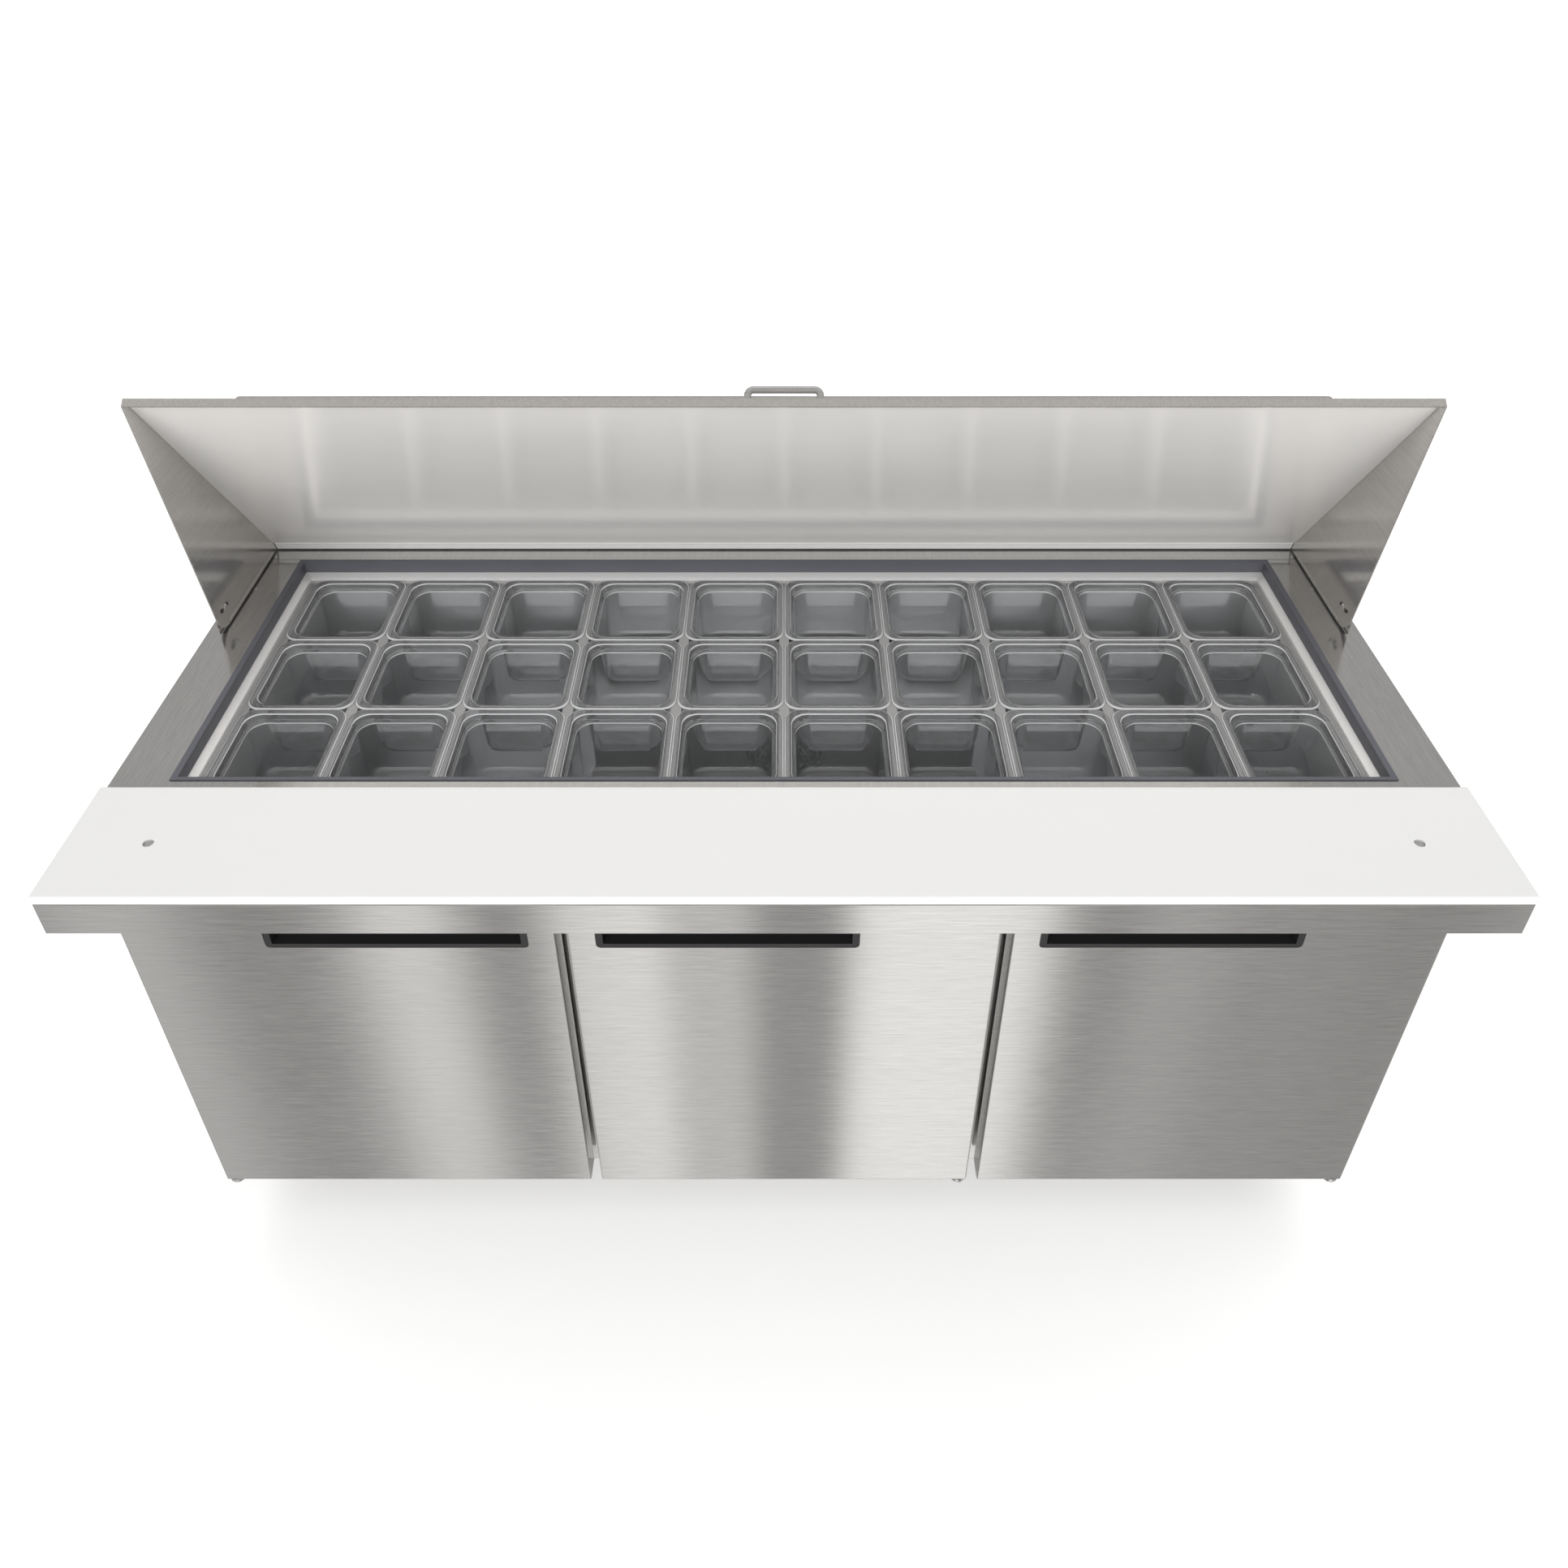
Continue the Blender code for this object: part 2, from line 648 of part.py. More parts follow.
def make_lid(axis):
    """Folded lid with a triangular wing at each end that turns on the hood's pivots."""
    skin = lid_skin()
    underside = [(LID_TAIL, -0.0066), (0.5195, 0.0), (0.4945, LID_RISE - SHEET),
                 (0.0256, LID_RISE - SHEET), (SHEET, -0.0012), (SHEET, -LID_LIP)]
    outline = [lid_point(along, out) for along, out in skin + underside]
    shell = profile_along_x("lid_shell", outline, (-LID_HALF_WIDTH, LID_HALF_WIDTH), steel(),
                            axis.location, axis)
    corner = []
    for step in range(5):
        angle = math.radians(90 * step / 4)
        corner.append((PIVOT[0] - PIVOT_CLEARANCE * math.sin(angle),
                       PIVOT[1] + PIVOT_CLEARANCE * math.cos(angle)))
    wing = [lid_point(along, out) for along, out in skin] + corner
    for side in (-1, 1):
        reach = sorted((side * LID_HALF_WIDTH, side * (LID_HALF_WIDTH - SHEET)))
        plate = profile_along_x(f"add_wing_{side}", wing, reach, None)
        join(shell, plate)
    for side in (-1, 1):
        hole = turned(f"cut_wing_hole_{side}", [(PIVOT_RADIUS + GAP, -0.01), (PIVOT_RADIUS + GAP, 0.01)],
                      "X", point(side * LID_HALF_WIDTH, *PIVOT), None)
        cut(shell, hole)

    face = -0.0045
    lining = [(0.0025, face), (0.0025, -0.0018), (0.0258, LID_RISE - SHEET - GAP),
              (0.4943, LID_RISE - SHEET - GAP), (0.5182, -0.0004), (0.5182, face)]
    outline = [lid_point(along, out) for along, out in lining]
    half = LID_HALF_WIDTH - SHEET - GAP
    profile_along_x("lid_liner", outline, (-half, half), liner_steel(), axis.location, axis)


def make_lid_handle(axis):
    """Bent-rod pull that stands on the lid's outer skin near its front edge."""
    reach = 0.051
    root = 0.062
    radius = 0.0051
    stand = 0.036
    bend_radius = 0.0085

    def at(x, out):
        return point(x, *lid_point(root, out))

    base = LID_RISE + GAP
    left_corner = at(-reach, base + stand)
    right_corner = at(reach, base + stand)
    route = [at(-reach, base)]
    route += bend(left_corner, at(-reach, base), right_corner, bend_radius, 4)
    route += bend(right_corner, left_corner, at(reach, base), bend_radius, 4)
    route.append(at(reach, base))
    rod("lid_handle", route, radius, steel(), axis.location, axis, resolution=4)


def make_lid_pivots():
    """Bolts through the hood's side plates that the lid's wings turn on."""
    wing = LID_HALF_WIDTH - SHEET
    for side, sign in (("left", -1), ("right", 1)):
        head = wing - GAP
        nut = HOOD_HALF_WIDTH + GAP
        profile = [(0.0055, head - 0.0035), (0.0070, head - 0.0025), (0.0070, head),
                   (PIVOT_RADIUS, head), (PIVOT_RADIUS, nut), (0.0065, nut), (0.0065, nut + 0.004)]
        profile = [(radius, sign * along) for radius, along in profile]
        turned(f"lid_pivot_{side}", profile, "X", point(0.0, *PIVOT), steel(), sides=12)


def make_hood():
    """Fixed hood: side plates that carry the lid's pivots, a roof and a back."""
    foot = WORKTOP_DROP - GAP
    back = HOOD_CREST[0] + 0.002
    outline = [(HOOD_NOSE, foot), (HOOD_NOSE, -0.030), HOOD_LIP, HOOD_CREST, (back, foot)]
    hood = profile_along_x("rear_hood", outline, (-HOOD_HALF_WIDTH, HOOD_HALF_WIDTH), steel())
    round_edges(hood, HOOD_BEND)
    inside = [(HOOD_NOSE - 0.05, foot + 0.05), (HOOD_NOSE - 0.05, HOOD_LIP[1] + 0.007),
              (HOOD_LIP[0], HOOD_LIP[1] + SHEET), (HOOD_CREST[0] - 0.003, HOOD_CREST[1] + SHEET + 0.0003),
              (back - SHEET, HOOD_CREST[1] + 0.006), (back - SHEET, foot + 0.05)]
    hollow = profile_along_x("cut_hood_inside", inside,
                             (-HOOD_HALF_WIDTH + SHEET, HOOD_HALF_WIDTH - SHEET), None)
    cut(hood, hollow)
    for side in (-1, 1):
        hole = turned(f"cut_hood_hole_{side}", [(PIVOT_RADIUS + GAP, -0.008), (PIVOT_RADIUS + GAP, 0.008)],
                      "X", point(side * HOOD_HALF_WIDTH, *PIVOT), None)
        cut(hood, hole)


# ---------------------------------------------------------------- doors

def make_door(name, middle, hinge_side):
    """One insulated door with its gasket and recessed handle cup, on an empty at its hinge."""
    half = DOOR_WIDTH / 2
    hinge_x = middle + hinge_side * (half - HINGE_INSET)
    hinge_y = DOOR_FRONT + HINGE_INSET
    axis = axis_empty(f"axis_door_{name}", point(hinge_x, hinge_y, DOOR_BOTTOM))
    back = DOOR_FRONT + DOOR_THICKNESS
    door = span(f"door_{name}", (middle - half, middle + half), (DOOR_FRONT, back),
                (DOOR_BOTTOM, DOOR_TOP), steel(), axis)
    round_edges(door, 0.002, segments=2)
    cup_middle = middle - hinge_side * (half - CUP_INSET - CUP_WIDTH / 2)
    cup_bottom = DOOR_TOP + 0.006 + CUP_HEIGHT
    recess = make_cup_block(f"cut_cup_recess_{name}", cup_middle, cup_bottom, 0.0, None)
    cut(door, recess)
    for end, drop in (("top", DOOR_TOP), ("bottom", DOOR_BOTTOM)):
        bore = turned(f"cut_bore_{name}_{end}", [(HINGE_BORE_RADIUS, -0.016), (HINGE_BORE_RADIUS, 0.016)],
                      "Z", point(hinge_x, hinge_y, drop), None, sides=12)
        cut(door, bore)

    cup = make_cup_block(f"door_{name}_handle_cup", cup_middle, cup_bottom, GAP, axis)
    pocket_half = CUP_WIDTH / 2 - 0.010
    pocket = span(f"cut_pocket_{name}", (cup_middle - pocket_half, cup_middle + pocket_half),
                  (DOOR_FRONT - 0.01, DOOR_FRONT + CUP_DEPTH - 0.004),
                  (cup_bottom - 0.008, cup_bottom - CUP_HEIGHT + 0.008), None)
    cut(cup, pocket)

    outer = half - GASKET_INSET
    seal = span(f"door_{name}_gasket", (middle - outer, middle + outer),
                (back + GAP, CABINET_FRONT - GAP),
                (DOOR_BOTTOM - GASKET_INSET, DOOR_TOP + GASKET_INSET), gasket_rubber(), axis)
    inner = outer - GASKET_WIDTH
    window = span(f"cut_gasket_{name}", (middle - inner, middle + inner),
                  (back - 0.01, CABINET_FRONT + 0.01),
                  (DOOR_BOTTOM - GASKET_INSET - GASKET_WIDTH, DOOR_TOP + GASKET_INSET + GASKET_WIDTH), None)
    cut(seal, window)
    make_bottom_hinge(name, hinge_x, hinge_y)


def make_cup_block(name, middle, bottom, shrink, parent):
    """The handle cup's outer block, or with no shrink the recess that it sits in."""
    width = CUP_WIDTH - 2 * shrink
    height = CUP_HEIGHT - 2 * shrink
    outline = rounded_rectangle(width, height, 0.006, 2)
    centre = point(middle, DOOR_FRONT, bottom - CUP_HEIGHT / 2)
    front = -0.010 if parent is None else 0.0
    depth = CUP_DEPTH - shrink
    sections = [[(x, y, z) for x, z in outline] for y in (front, depth)]
    return loft(name, sections, black_plastic() if parent else None, centre, parent)


def make_bottom_hinge(name, hinge_x, hinge_y):
    """Bracket under the door's hinge corner, with a round end, a boss and the pin."""
    radius = HINGE_INSET
    top = DOOR_BOTTOM + 0.001
    bottom = top + 0.007
    outline = [(radius, 0.0)]
    for step in range(1, 8):
        angle = math.radians(-180 * step / 8)
        outline.append((radius * math.cos(angle), radius * math.sin(angle)))
    outline.append((-radius, 0.0))
    reach = CABINET_FRONT - GAP - hinge_y
    outline += [(-radius, reach), (radius, reach)]
    centre = point(hinge_x, hinge_y, top)
    sections = [[(x, y, z) for x, y in outline] for z in (top - bottom, 0.0)]
    bracket = loft(f"door_{name}_hinge", sections, steel(), centre)
    pin = turned(f"add_hinge_pin_{name}", [(HINGE_PIN_RADIUS, -0.005), (HINGE_PIN_RADIUS, 0.015)],
                 "Z", centre, None, sides=12)
    boss = turned(f"add_hinge_boss_{name}", [(0.0095, -0.0115), (0.0105, -0.0105), (0.0105, -0.005)],
                  "Z", centre, None, sides=12)
    join(bracket, pin, boss)


def make_doors():
    for name, place, hinge_side in DOORS:
        make_door(name, place * DOOR_PITCH, hinge_side)


def make_top_hinge_rail():
    """Rail across the cabinet front above the doors, with a lug and a pin for each door."""
    back = CABINET_FRONT - GAP
    lug_bottom = DOOR_TOP - 0.001
    lug_top = lug_bottom - 0.005
    rail = span("top_hinge_rail", (-0.905, 0.905), (back - 0.003, back), (lug_bottom, lug_bottom - 0.040),
                steel())
    for name, place, hinge_side in DOORS:
        x = place * DOOR_PITCH + hinge_side * (DOOR_WIDTH / 2 - HINGE_INSET)
        y = DOOR_FRONT + HINGE_INSET
        lug = span(f"add_lug_{name}", (x - 0.011, x + 0.011), (DOOR_FRONT + 0.002, back - 0.001),
                   (lug_bottom, lug_top), None)
        pin = turned(f"add_top_pin_{name}", [(HINGE_PIN_RADIUS, -0.014), (HINGE_PIN_RADIUS, 0.003)],
                     "Z", point(x, y, lug_bottom), None, sides=12)
        join(rail, lug, pin)


# ---------------------------------------------------------------- shelves


def shelf_mesh():
    """Wire grid, with its origin at the middle of its underside."""
    half_width = SHELF_WIDTH / 2
    half_depth = (SHELF_BACK - SHELF_FRONT) / 2
    frame = block("shelf_frame", (-half_width, -half_depth, 0.0), (half_width, half_depth, WIRE), None)
    window = block("shelf_window", (-half_width + WIRE, -half_depth + WIRE, -0.01),
                   (half_width - WIRE, half_depth - WIRE, 0.02), None)
    cut(frame, window)
    cross = block("shelf_cross", (-half_width + WIRE / 2, -WIRE / 2, 0.0),
                  (half_width - WIRE / 2, WIRE / 2, WIRE - 0.0005), None)
    join(frame, cross)
    for number in range(SHELF_WIRES):
        x = (number + 1) * SHELF_WIDTH / (SHELF_WIRES + 1) - half_width
        wire = block(f"shelf_wire_{number}", (x - WIRE / 2, -half_depth + WIRE / 4, WIRE / 2),
                     (x + WIRE / 2, half_depth - WIRE / 4, 1.5 * WIRE), None)
        join(frame, wire)
    return baked_mesh(frame, "shelf")


def make_shelves():
    mesh = shelf_mesh()
    middle = (SHELF_FRONT + SHELF_BACK) / 2
    for name, place, _ in DOORS:
        add_object(f"shelf_{name}", mesh, point(place * SHELF_PITCH, middle, SHELF_DROP), galvanised())


# ---------------------------------------------------------------- refrigeration

def fan_mesh(name, radius, blades):
    """Axial fan around Y: a hub with flat pitched blades that widen outwards."""
    hub_radius = radius * 0.28
    hub = turned("fan_hub", [(hub_radius, -FAN_DEPTH / 2), (hub_radius, FAN_DEPTH / 2)], "Y", (0, 0, 0),
                 None, sides=12)
    pitch = math.radians(28)
    for number in range(blades):
        turn = 2 * math.pi * number / blades
        sections = []
        for reach, width in ((hub_radius * 0.7, radius * 0.30), (radius, radius * 0.62)):
            section = []
            for across_blade, thickness in ((-0.5, -0.001), (0.5, -0.001), (0.5, 0.001), (-0.5, 0.001)):
                side = across_blade * width * math.cos(pitch) - thickness * math.sin(pitch)
                depth = across_blade * width * math.sin(pitch) + thickness * math.cos(pitch)
                x = reach * math.cos(turn) - side * math.sin(turn)
                z = reach * math.sin(turn) + side * math.cos(turn)
                section.append((x, depth * FAN_DEPTH / (radius * 0.32), z))
            sections.append(section)
        join(hub, loft(f"fan_blade_{number}", sections, None))
    return baked_mesh(hub, name)


def make_fans():
    evaporator = fan_mesh("evaporator_fan", 0.062, 4)
    add_object("evaporator_fan", evaporator, point(*EVAPORATOR_FAN), black_plastic())
    condenser = fan_mesh("condenser_fan", 0.095, 5)
    add_object("condenser_fan", condenser, point(*CONDENSER_FAN), aluminium())


def finned_coil(name, x_range, distance_range, drop_range, surface):
    """A coil block between two end plates, with the return bends shown as bars at one end."""
    coil = span(name, x_range, distance_range, drop_range, surface)
    middle = sum(distance_range) / 2
    rows = 4
    low, high = drop_range
    for row in range(rows):
        drop = high + (row + 0.5) * (low - high) / rows
        bend_bar = span(f"add_{name}_bend_{row}", (x_range[1] - 0.002, x_range[1] + 0.018),
                        (middle - 0.018, middle + 0.018), (drop + 0.005, drop - 0.005), None)
        join(coil, bend_bar)


def make_evaporator():
    """Coil in the upper rear bay, its motor and the cover in front of the fan."""
    x, distance, drop = EVAPORATOR_FAN
    floor = UPPER_BAY_FLOOR - 2 * GAP - LINER
    finned_coil("evaporator_coil", (-0.300, 0.300), (0.672, 0.760), (floor, floor - 0.150), aluminium())
    start = distance + FAN_DEPTH / 2 + GAP
    end = 0.672 - GAP
    turned("evaporator_fan_motor", [(0.020, start), (0.026, start + 0.004), (0.026, end)], "Y",
           (across(x), behind(0.0), below(drop)), black_enamel(), sides=12)

    front = 0.604
    rear = 0.790
    top = floor - 0.165
    outline = [(front, floor), (front, top), (rear, top), (rear, top + SHEET),
               (front + SHEET, top + SHEET), (front + SHEET, floor)]
    cover = profile_along_x("evaporator_cover", outline, (-0.340, 0.340), aluminium())
    guard = 0.066
    mouth = turned("cut_cover_mouth", [(guard, -0.02), (guard, 0.02)], "Y", point(x, front, drop), None,
                   sides=20)
    cut(cover, mouth)


def make_condensing_unit():
    """Compressor, condenser and its fan motor on the machine compartment's floor."""
    floor = CABINET_BOTTOM - 2 * SHEET - GAP
    base = point(-0.470, 0.745, floor)
    profile = [(0.070, 0.0), (0.092, 0.004), (0.092, 0.012), (0.082, 0.020), (0.086, 0.080), (0.086, 0.130),
               (0.070, 0.165), (0.035, 0.180)]
    turned("compressor", profile, "Z", base, black_enamel(), sides=20)

    x, distance, drop = CONDENSER_FAN
    finned_coil("condenser_coil", (x - 0.150, x + 0.150), (0.800, 0.848), (floor, 0.510), black_enamel())
    start = distance - FAN_DEPTH / 2 - GAP
    motor = turned("condenser_fan_motor", [(0.036, start - 0.070), (0.040, start - 0.064), (0.040, start)],
                   "Y", (across(x), behind(0.0), below(drop)), galvanised(), sides=12)
    stand = span("add_motor_stand", (x - 0.020, x + 0.020), (start - 0.060, start - 0.020),
                 (floor, drop + 0.020), None)
    join(motor, stand)

    tray = span("condensate_pan", (-0.330, -0.030), (0.670, 0.840), (floor, floor - 0.040), galvanised())
    hollow = span("cut_tray", (-0.328, -0.032), (0.672, 0.838), (floor - SHEET, floor - 0.060), None)
    cut(tray, hollow)


def make_suction_line():
    """Copper line from the compressor's dome up the back of the compartment."""
    start = point(-0.365, 0.745, CABINET_BOTTOM - 0.060)
    along = point(0.020, 0.745, CABINET_BOTTOM - 0.060)
    up = point(0.020, 0.745, MACHINE_TOP + 0.030)
    end = point(0.060, 0.745, MACHINE_TOP + 0.030)
    route = [start] + bend(along, start, up, 0.030, 4) + bend(up, along, end, 0.018, 3) + [end]
    rod("suction_line", route, 0.005, copper())


def make_controls():
    """Control box with the temperature knob and the power inlet on its rear face."""
    back = 0.846
    span("control_box", (0.500, 0.700), (0.740, back), (0.650, 0.500), galvanised())
    knob = [(0.017, GAP), (0.017, 0.003), (0.013, 0.004), (0.012, 0.012), (0.010, 0.013)]
    turned("thermostat_knob", knob, "Y", point(0.560, back, 0.575), black_plastic(), sides=16)
    inlet = [(0.013, GAP), (0.013, 0.006), (0.009, 0.007), (0.009, 0.013)]
    turned("power_inlet", inlet, "Y", point(0.640, back, 0.575), black_plastic(), sides=12)


def main():
    for old in list(bpy.data.objects):
        bpy.data.objects.remove(old)
    make_cabinet_shell()
    make_cabinet_liner()
    make_rear_grille()
    make_legs()
    make_worktop()
    make_nosing()
    make_cutting_board()
    make_board_pins()
    make_well_frame()
    make_well_liner()
    make_pan_rack()
    make_pan_columns()
    lid_axis = axis_empty("axis_lid", point(0.0, *PIVOT))
    make_lid(lid_axis)
    make_lid_handle(lid_axis)
    make_lid_pivots()
    make_hood()
    make_doors()
    make_top_hinge_rail()
    make_shelves()
    make_fans()
    make_evaporator()
    make_condensing_unit()
    make_suction_line()
    make_controls()


main()
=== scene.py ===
"""Looks of a three-door sandwich prep table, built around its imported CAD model.

Units are metres and +Z is up, in the CAD model's own frame: the doors and the cutting board face -Y.
Every piece of the table takes its place from the boxes of the CAD nodes that it belongs to.
"""

import json
import math

import bmesh
import bpy
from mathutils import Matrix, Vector

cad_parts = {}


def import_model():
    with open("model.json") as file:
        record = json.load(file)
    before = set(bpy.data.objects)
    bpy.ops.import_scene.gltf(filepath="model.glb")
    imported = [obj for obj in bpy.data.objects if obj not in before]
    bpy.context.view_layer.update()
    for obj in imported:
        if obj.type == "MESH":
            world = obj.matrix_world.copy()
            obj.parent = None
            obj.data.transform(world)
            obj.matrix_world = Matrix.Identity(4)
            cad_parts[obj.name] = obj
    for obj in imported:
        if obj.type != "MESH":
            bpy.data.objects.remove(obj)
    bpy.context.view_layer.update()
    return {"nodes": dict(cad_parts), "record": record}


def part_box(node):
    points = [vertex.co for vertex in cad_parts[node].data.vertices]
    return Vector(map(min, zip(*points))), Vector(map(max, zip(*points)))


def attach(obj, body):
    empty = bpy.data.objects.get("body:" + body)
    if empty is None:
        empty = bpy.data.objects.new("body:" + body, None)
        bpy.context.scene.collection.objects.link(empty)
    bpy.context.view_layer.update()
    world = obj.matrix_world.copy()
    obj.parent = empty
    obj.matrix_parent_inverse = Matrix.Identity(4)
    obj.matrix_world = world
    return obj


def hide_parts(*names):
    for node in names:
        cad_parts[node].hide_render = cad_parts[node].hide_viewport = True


# Camera
CAMERA_PLACE = (0.0, -1.489, 2.078)
CAMERA_TILT_DOWN = math.radians(34.29)
CAMERA_LENS = 28.87
CAMERA_SHIFT_UP = -0.1118

# Studio surroundings: a dim horizon that fades into an even glow, over this much of the direction's z
BASE_LIGHT = 0.22
UPPER_LIGHT = 0.46
HORIZON_FADE = 0.45
STUDIO_TINT = (1.0, 0.99, 0.975, 1)

# Tall soft strips of light, as (azimuth from the front in degrees, half width in degrees, strength)
FRONT_STRIPS = ((-38.0, 1.0, 0.52), (-23.9, 1.2, 0.84), (-12.1, 1.7, 0.80), (-5.8, 1.8, 0.46),
                (0, 2.0, 0.10), (11.1, 4.9, 1.00), (25, 0.9, 0.28), (32, 1.5, 0.12), (44, 2.0, 0.30))
OTHER_STRIPS = ((-152, 6, 0.5), (-118, 5, 0.6), (-88, 4, 0.3), (-62, 5, 0.5),
                (60, 5, 0.4), (85, 4, 0.6), (116, 6, 0.5), (150, 4, 0.6), (178, 5, 0.4))
STRIP_EDGE = 3.5

# A band of light high up behind the table, dimmer in reflections. It fades in and out over these
# spans of the direction's z, and from the sides over the first part of its y.
REAR_BAND = 2.4
REAR_BAND_REFLECTED = 1.05
REAR_BAND_BOTTOM = (0.80, 0.86)
REAR_BAND_TOP = (0.955, 0.985)
REAR_BAND_SIDE = 0.3

# Distant softboxes, as (name, strength, tilt from overhead to the front, turn), with angles in degrees
SOFTBOXES = (("overhead_softbox", 0.9, 20, 20), ("front_softbox", 2.2, 75, -10))
SOFTBOX_SIZE = math.radians(70)
FLOOR_SIZE = 60
FLOOR_GLOW = 0.22

# Food pans
COLUMNS = 10
ROWS = 3
PAN_RIM_SIZE = (0.1595, 0.1750)
PAN_PITCH_Y = 0.1766
PAN_RIM_RADIUS = 0.022

# Lid
LID_ANGLE = math.radians(52.7)
LIP_LEAN = math.radians(21.7)
HANDLE_RADIUS = 0.0051
HANDLE_BEND = 0.0085

# Shelves: radius of the border and of the thin wires, and how many of those there are
SHELF_BORDER = 0.0030
SHELF_WIRE = 0.0017
SHELF_WIRES = 23

# Rear panel
LOUVRE_CENTRES = (-0.55, -0.05)
LOUVRE_ROWS = 9
LOUVRE_LENGTH = 0.400
LOUVRE_PITCH = 0.034
LOUVRE_REACH = 0.0065
LOUVRE_SHEET = 0.0009
LOUVRE_DROP = 0.011

# Shared by several pieces
DOOR_NAMES = ("left", "centre", "right")
SCREW_RADIUS = 0.0042
SMALL_SCREW_RADIUS = 0.0036


# ---------------------------------------------------------------- camera, floor and light

def make_camera():
    """The photo's camera, found from the corners of the board, the well, the doors and the lid."""
    data = bpy.data.cameras.new("camera")
    data.lens = CAMERA_LENS
    data.shift_y = CAMERA_SHIFT_UP
    data.clip_end = 200
    camera = bpy.data.objects.new("camera", data)
    camera.location = CAMERA_PLACE
    camera.rotation_euler = (math.radians(90) - CAMERA_TILT_DOWN, 0, 0)
    bpy.context.scene.collection.objects.link(camera)
    bpy.context.scene.camera = camera


def make_floor():
    """A pale plane that catches shadows. The steel doesn't reflect it, so that it sees the studio."""
    shape = bmesh.new()
    bmesh.ops.create_grid(shape, x_segments=1, y_segments=1, size=FLOOR_SIZE)
    floor = add_piece("studio_floor", shape)
    floor.visible_glossy = False
    surface = Surface("studio_floor", (0.93, 0.93, 0.925), 0.9)
    surface.set("Specular IOR Level", 0.0)
    surface.set("Emission Color", (1.0, 1.0, 1.0, 1.0))
    surface.set("Emission Strength", FLOOR_GLOW)
    floor.data.materials.append(surface.material)


def make_softbox(name, strength, tilt, turn):
    """A broad light from far away that doesn't show in reflections."""
    data = bpy.data.lights.new(name, "SUN")
    data.energy = strength
    data.angle = SOFTBOX_SIZE
    softbox = bpy.data.objects.new(name, data)
    softbox.visible_glossy = False
    softbox.rotation_euler = (math.radians(tilt), 0, math.radians(turn))
    bpy.context.scene.collection.objects.link(softbox)


def make_world():
    """Soft grey surroundings with tall strips of light, which the brushed steel reflects as bands.

    The camera itself sees plain white behind the table."""
    world = bpy.data.worlds.new("studio")
    world.use_nodes = True
    bpy.context.scene.world = world
    tree = world.node_tree
    tree.nodes.clear()
    graph = Graph(tree)
    direction = graph.add("ShaderNodeTexCoord").outputs["Generated"]
    split = graph.add("ShaderNodeSeparateXYZ", {"Vector": direction})
    forward = graph.maths("MULTIPLY", split.outputs["Y"], -1.0)
    azimuth = graph.maths("DEGREES", graph.maths("ARCTAN2", split.outputs["X"], forward))
    light = BASE_LIGHT
    for centre, half_width, strength in FRONT_STRIPS + OTHER_STRIPS:
        apart = graph.maths("ABSOLUTE", graph.maths("SUBTRACT", azimuth, float(centre)))
        strip = graph.span(apart, half_width, half_width + STRIP_EDGE, strength, 0.0, smooth=True)
        light = graph.maths("ADD", light, strip)
    height = split.outputs["Z"]
    above = graph.span(height, 0.0, HORIZON_FADE, 0.0, 1.0, smooth=True)
    light = graph.blend(above, light, UPPER_LIGHT)
    bottom = graph.span(height, *REAR_BAND_BOTTOM, 0.0, 1.0, smooth=True)
    top = graph.span(height, *REAR_BAND_TOP, 1.0, 0.0, smooth=True)
    behind = graph.span(split.outputs["Y"], 0.0, REAR_BAND_SIDE, 0.0, 1.0, smooth=True)
    band = graph.maths("MULTIPLY", graph.maths("MULTIPLY", bottom, top), behind)
    diffuse = graph.add("ShaderNodeLightPath").outputs["Is Diffuse Ray"]
    band_light = graph.blend(diffuse, REAR_BAND_REFLECTED, REAR_BAND)
    light = graph.blend(band, light, band_light)
    studio = graph.add("ShaderNodeBackground", {"Color": STUDIO_TINT, "Strength": light})
    white = graph.add("ShaderNodeBackground", {"Color": (1, 1, 1, 1), "Strength": 1.0})
    seen = graph.add("ShaderNodeLightPath").outputs["Is Camera Ray"]
    mix = graph.add("ShaderNodeMixShader", {0: seen, 1: studio.outputs[0], 2: white.outputs[0]})
    graph.add("ShaderNodeOutputWorld", {"Surface": mix.outputs[0]})


# ---------------------------------------------------------------- node helpers

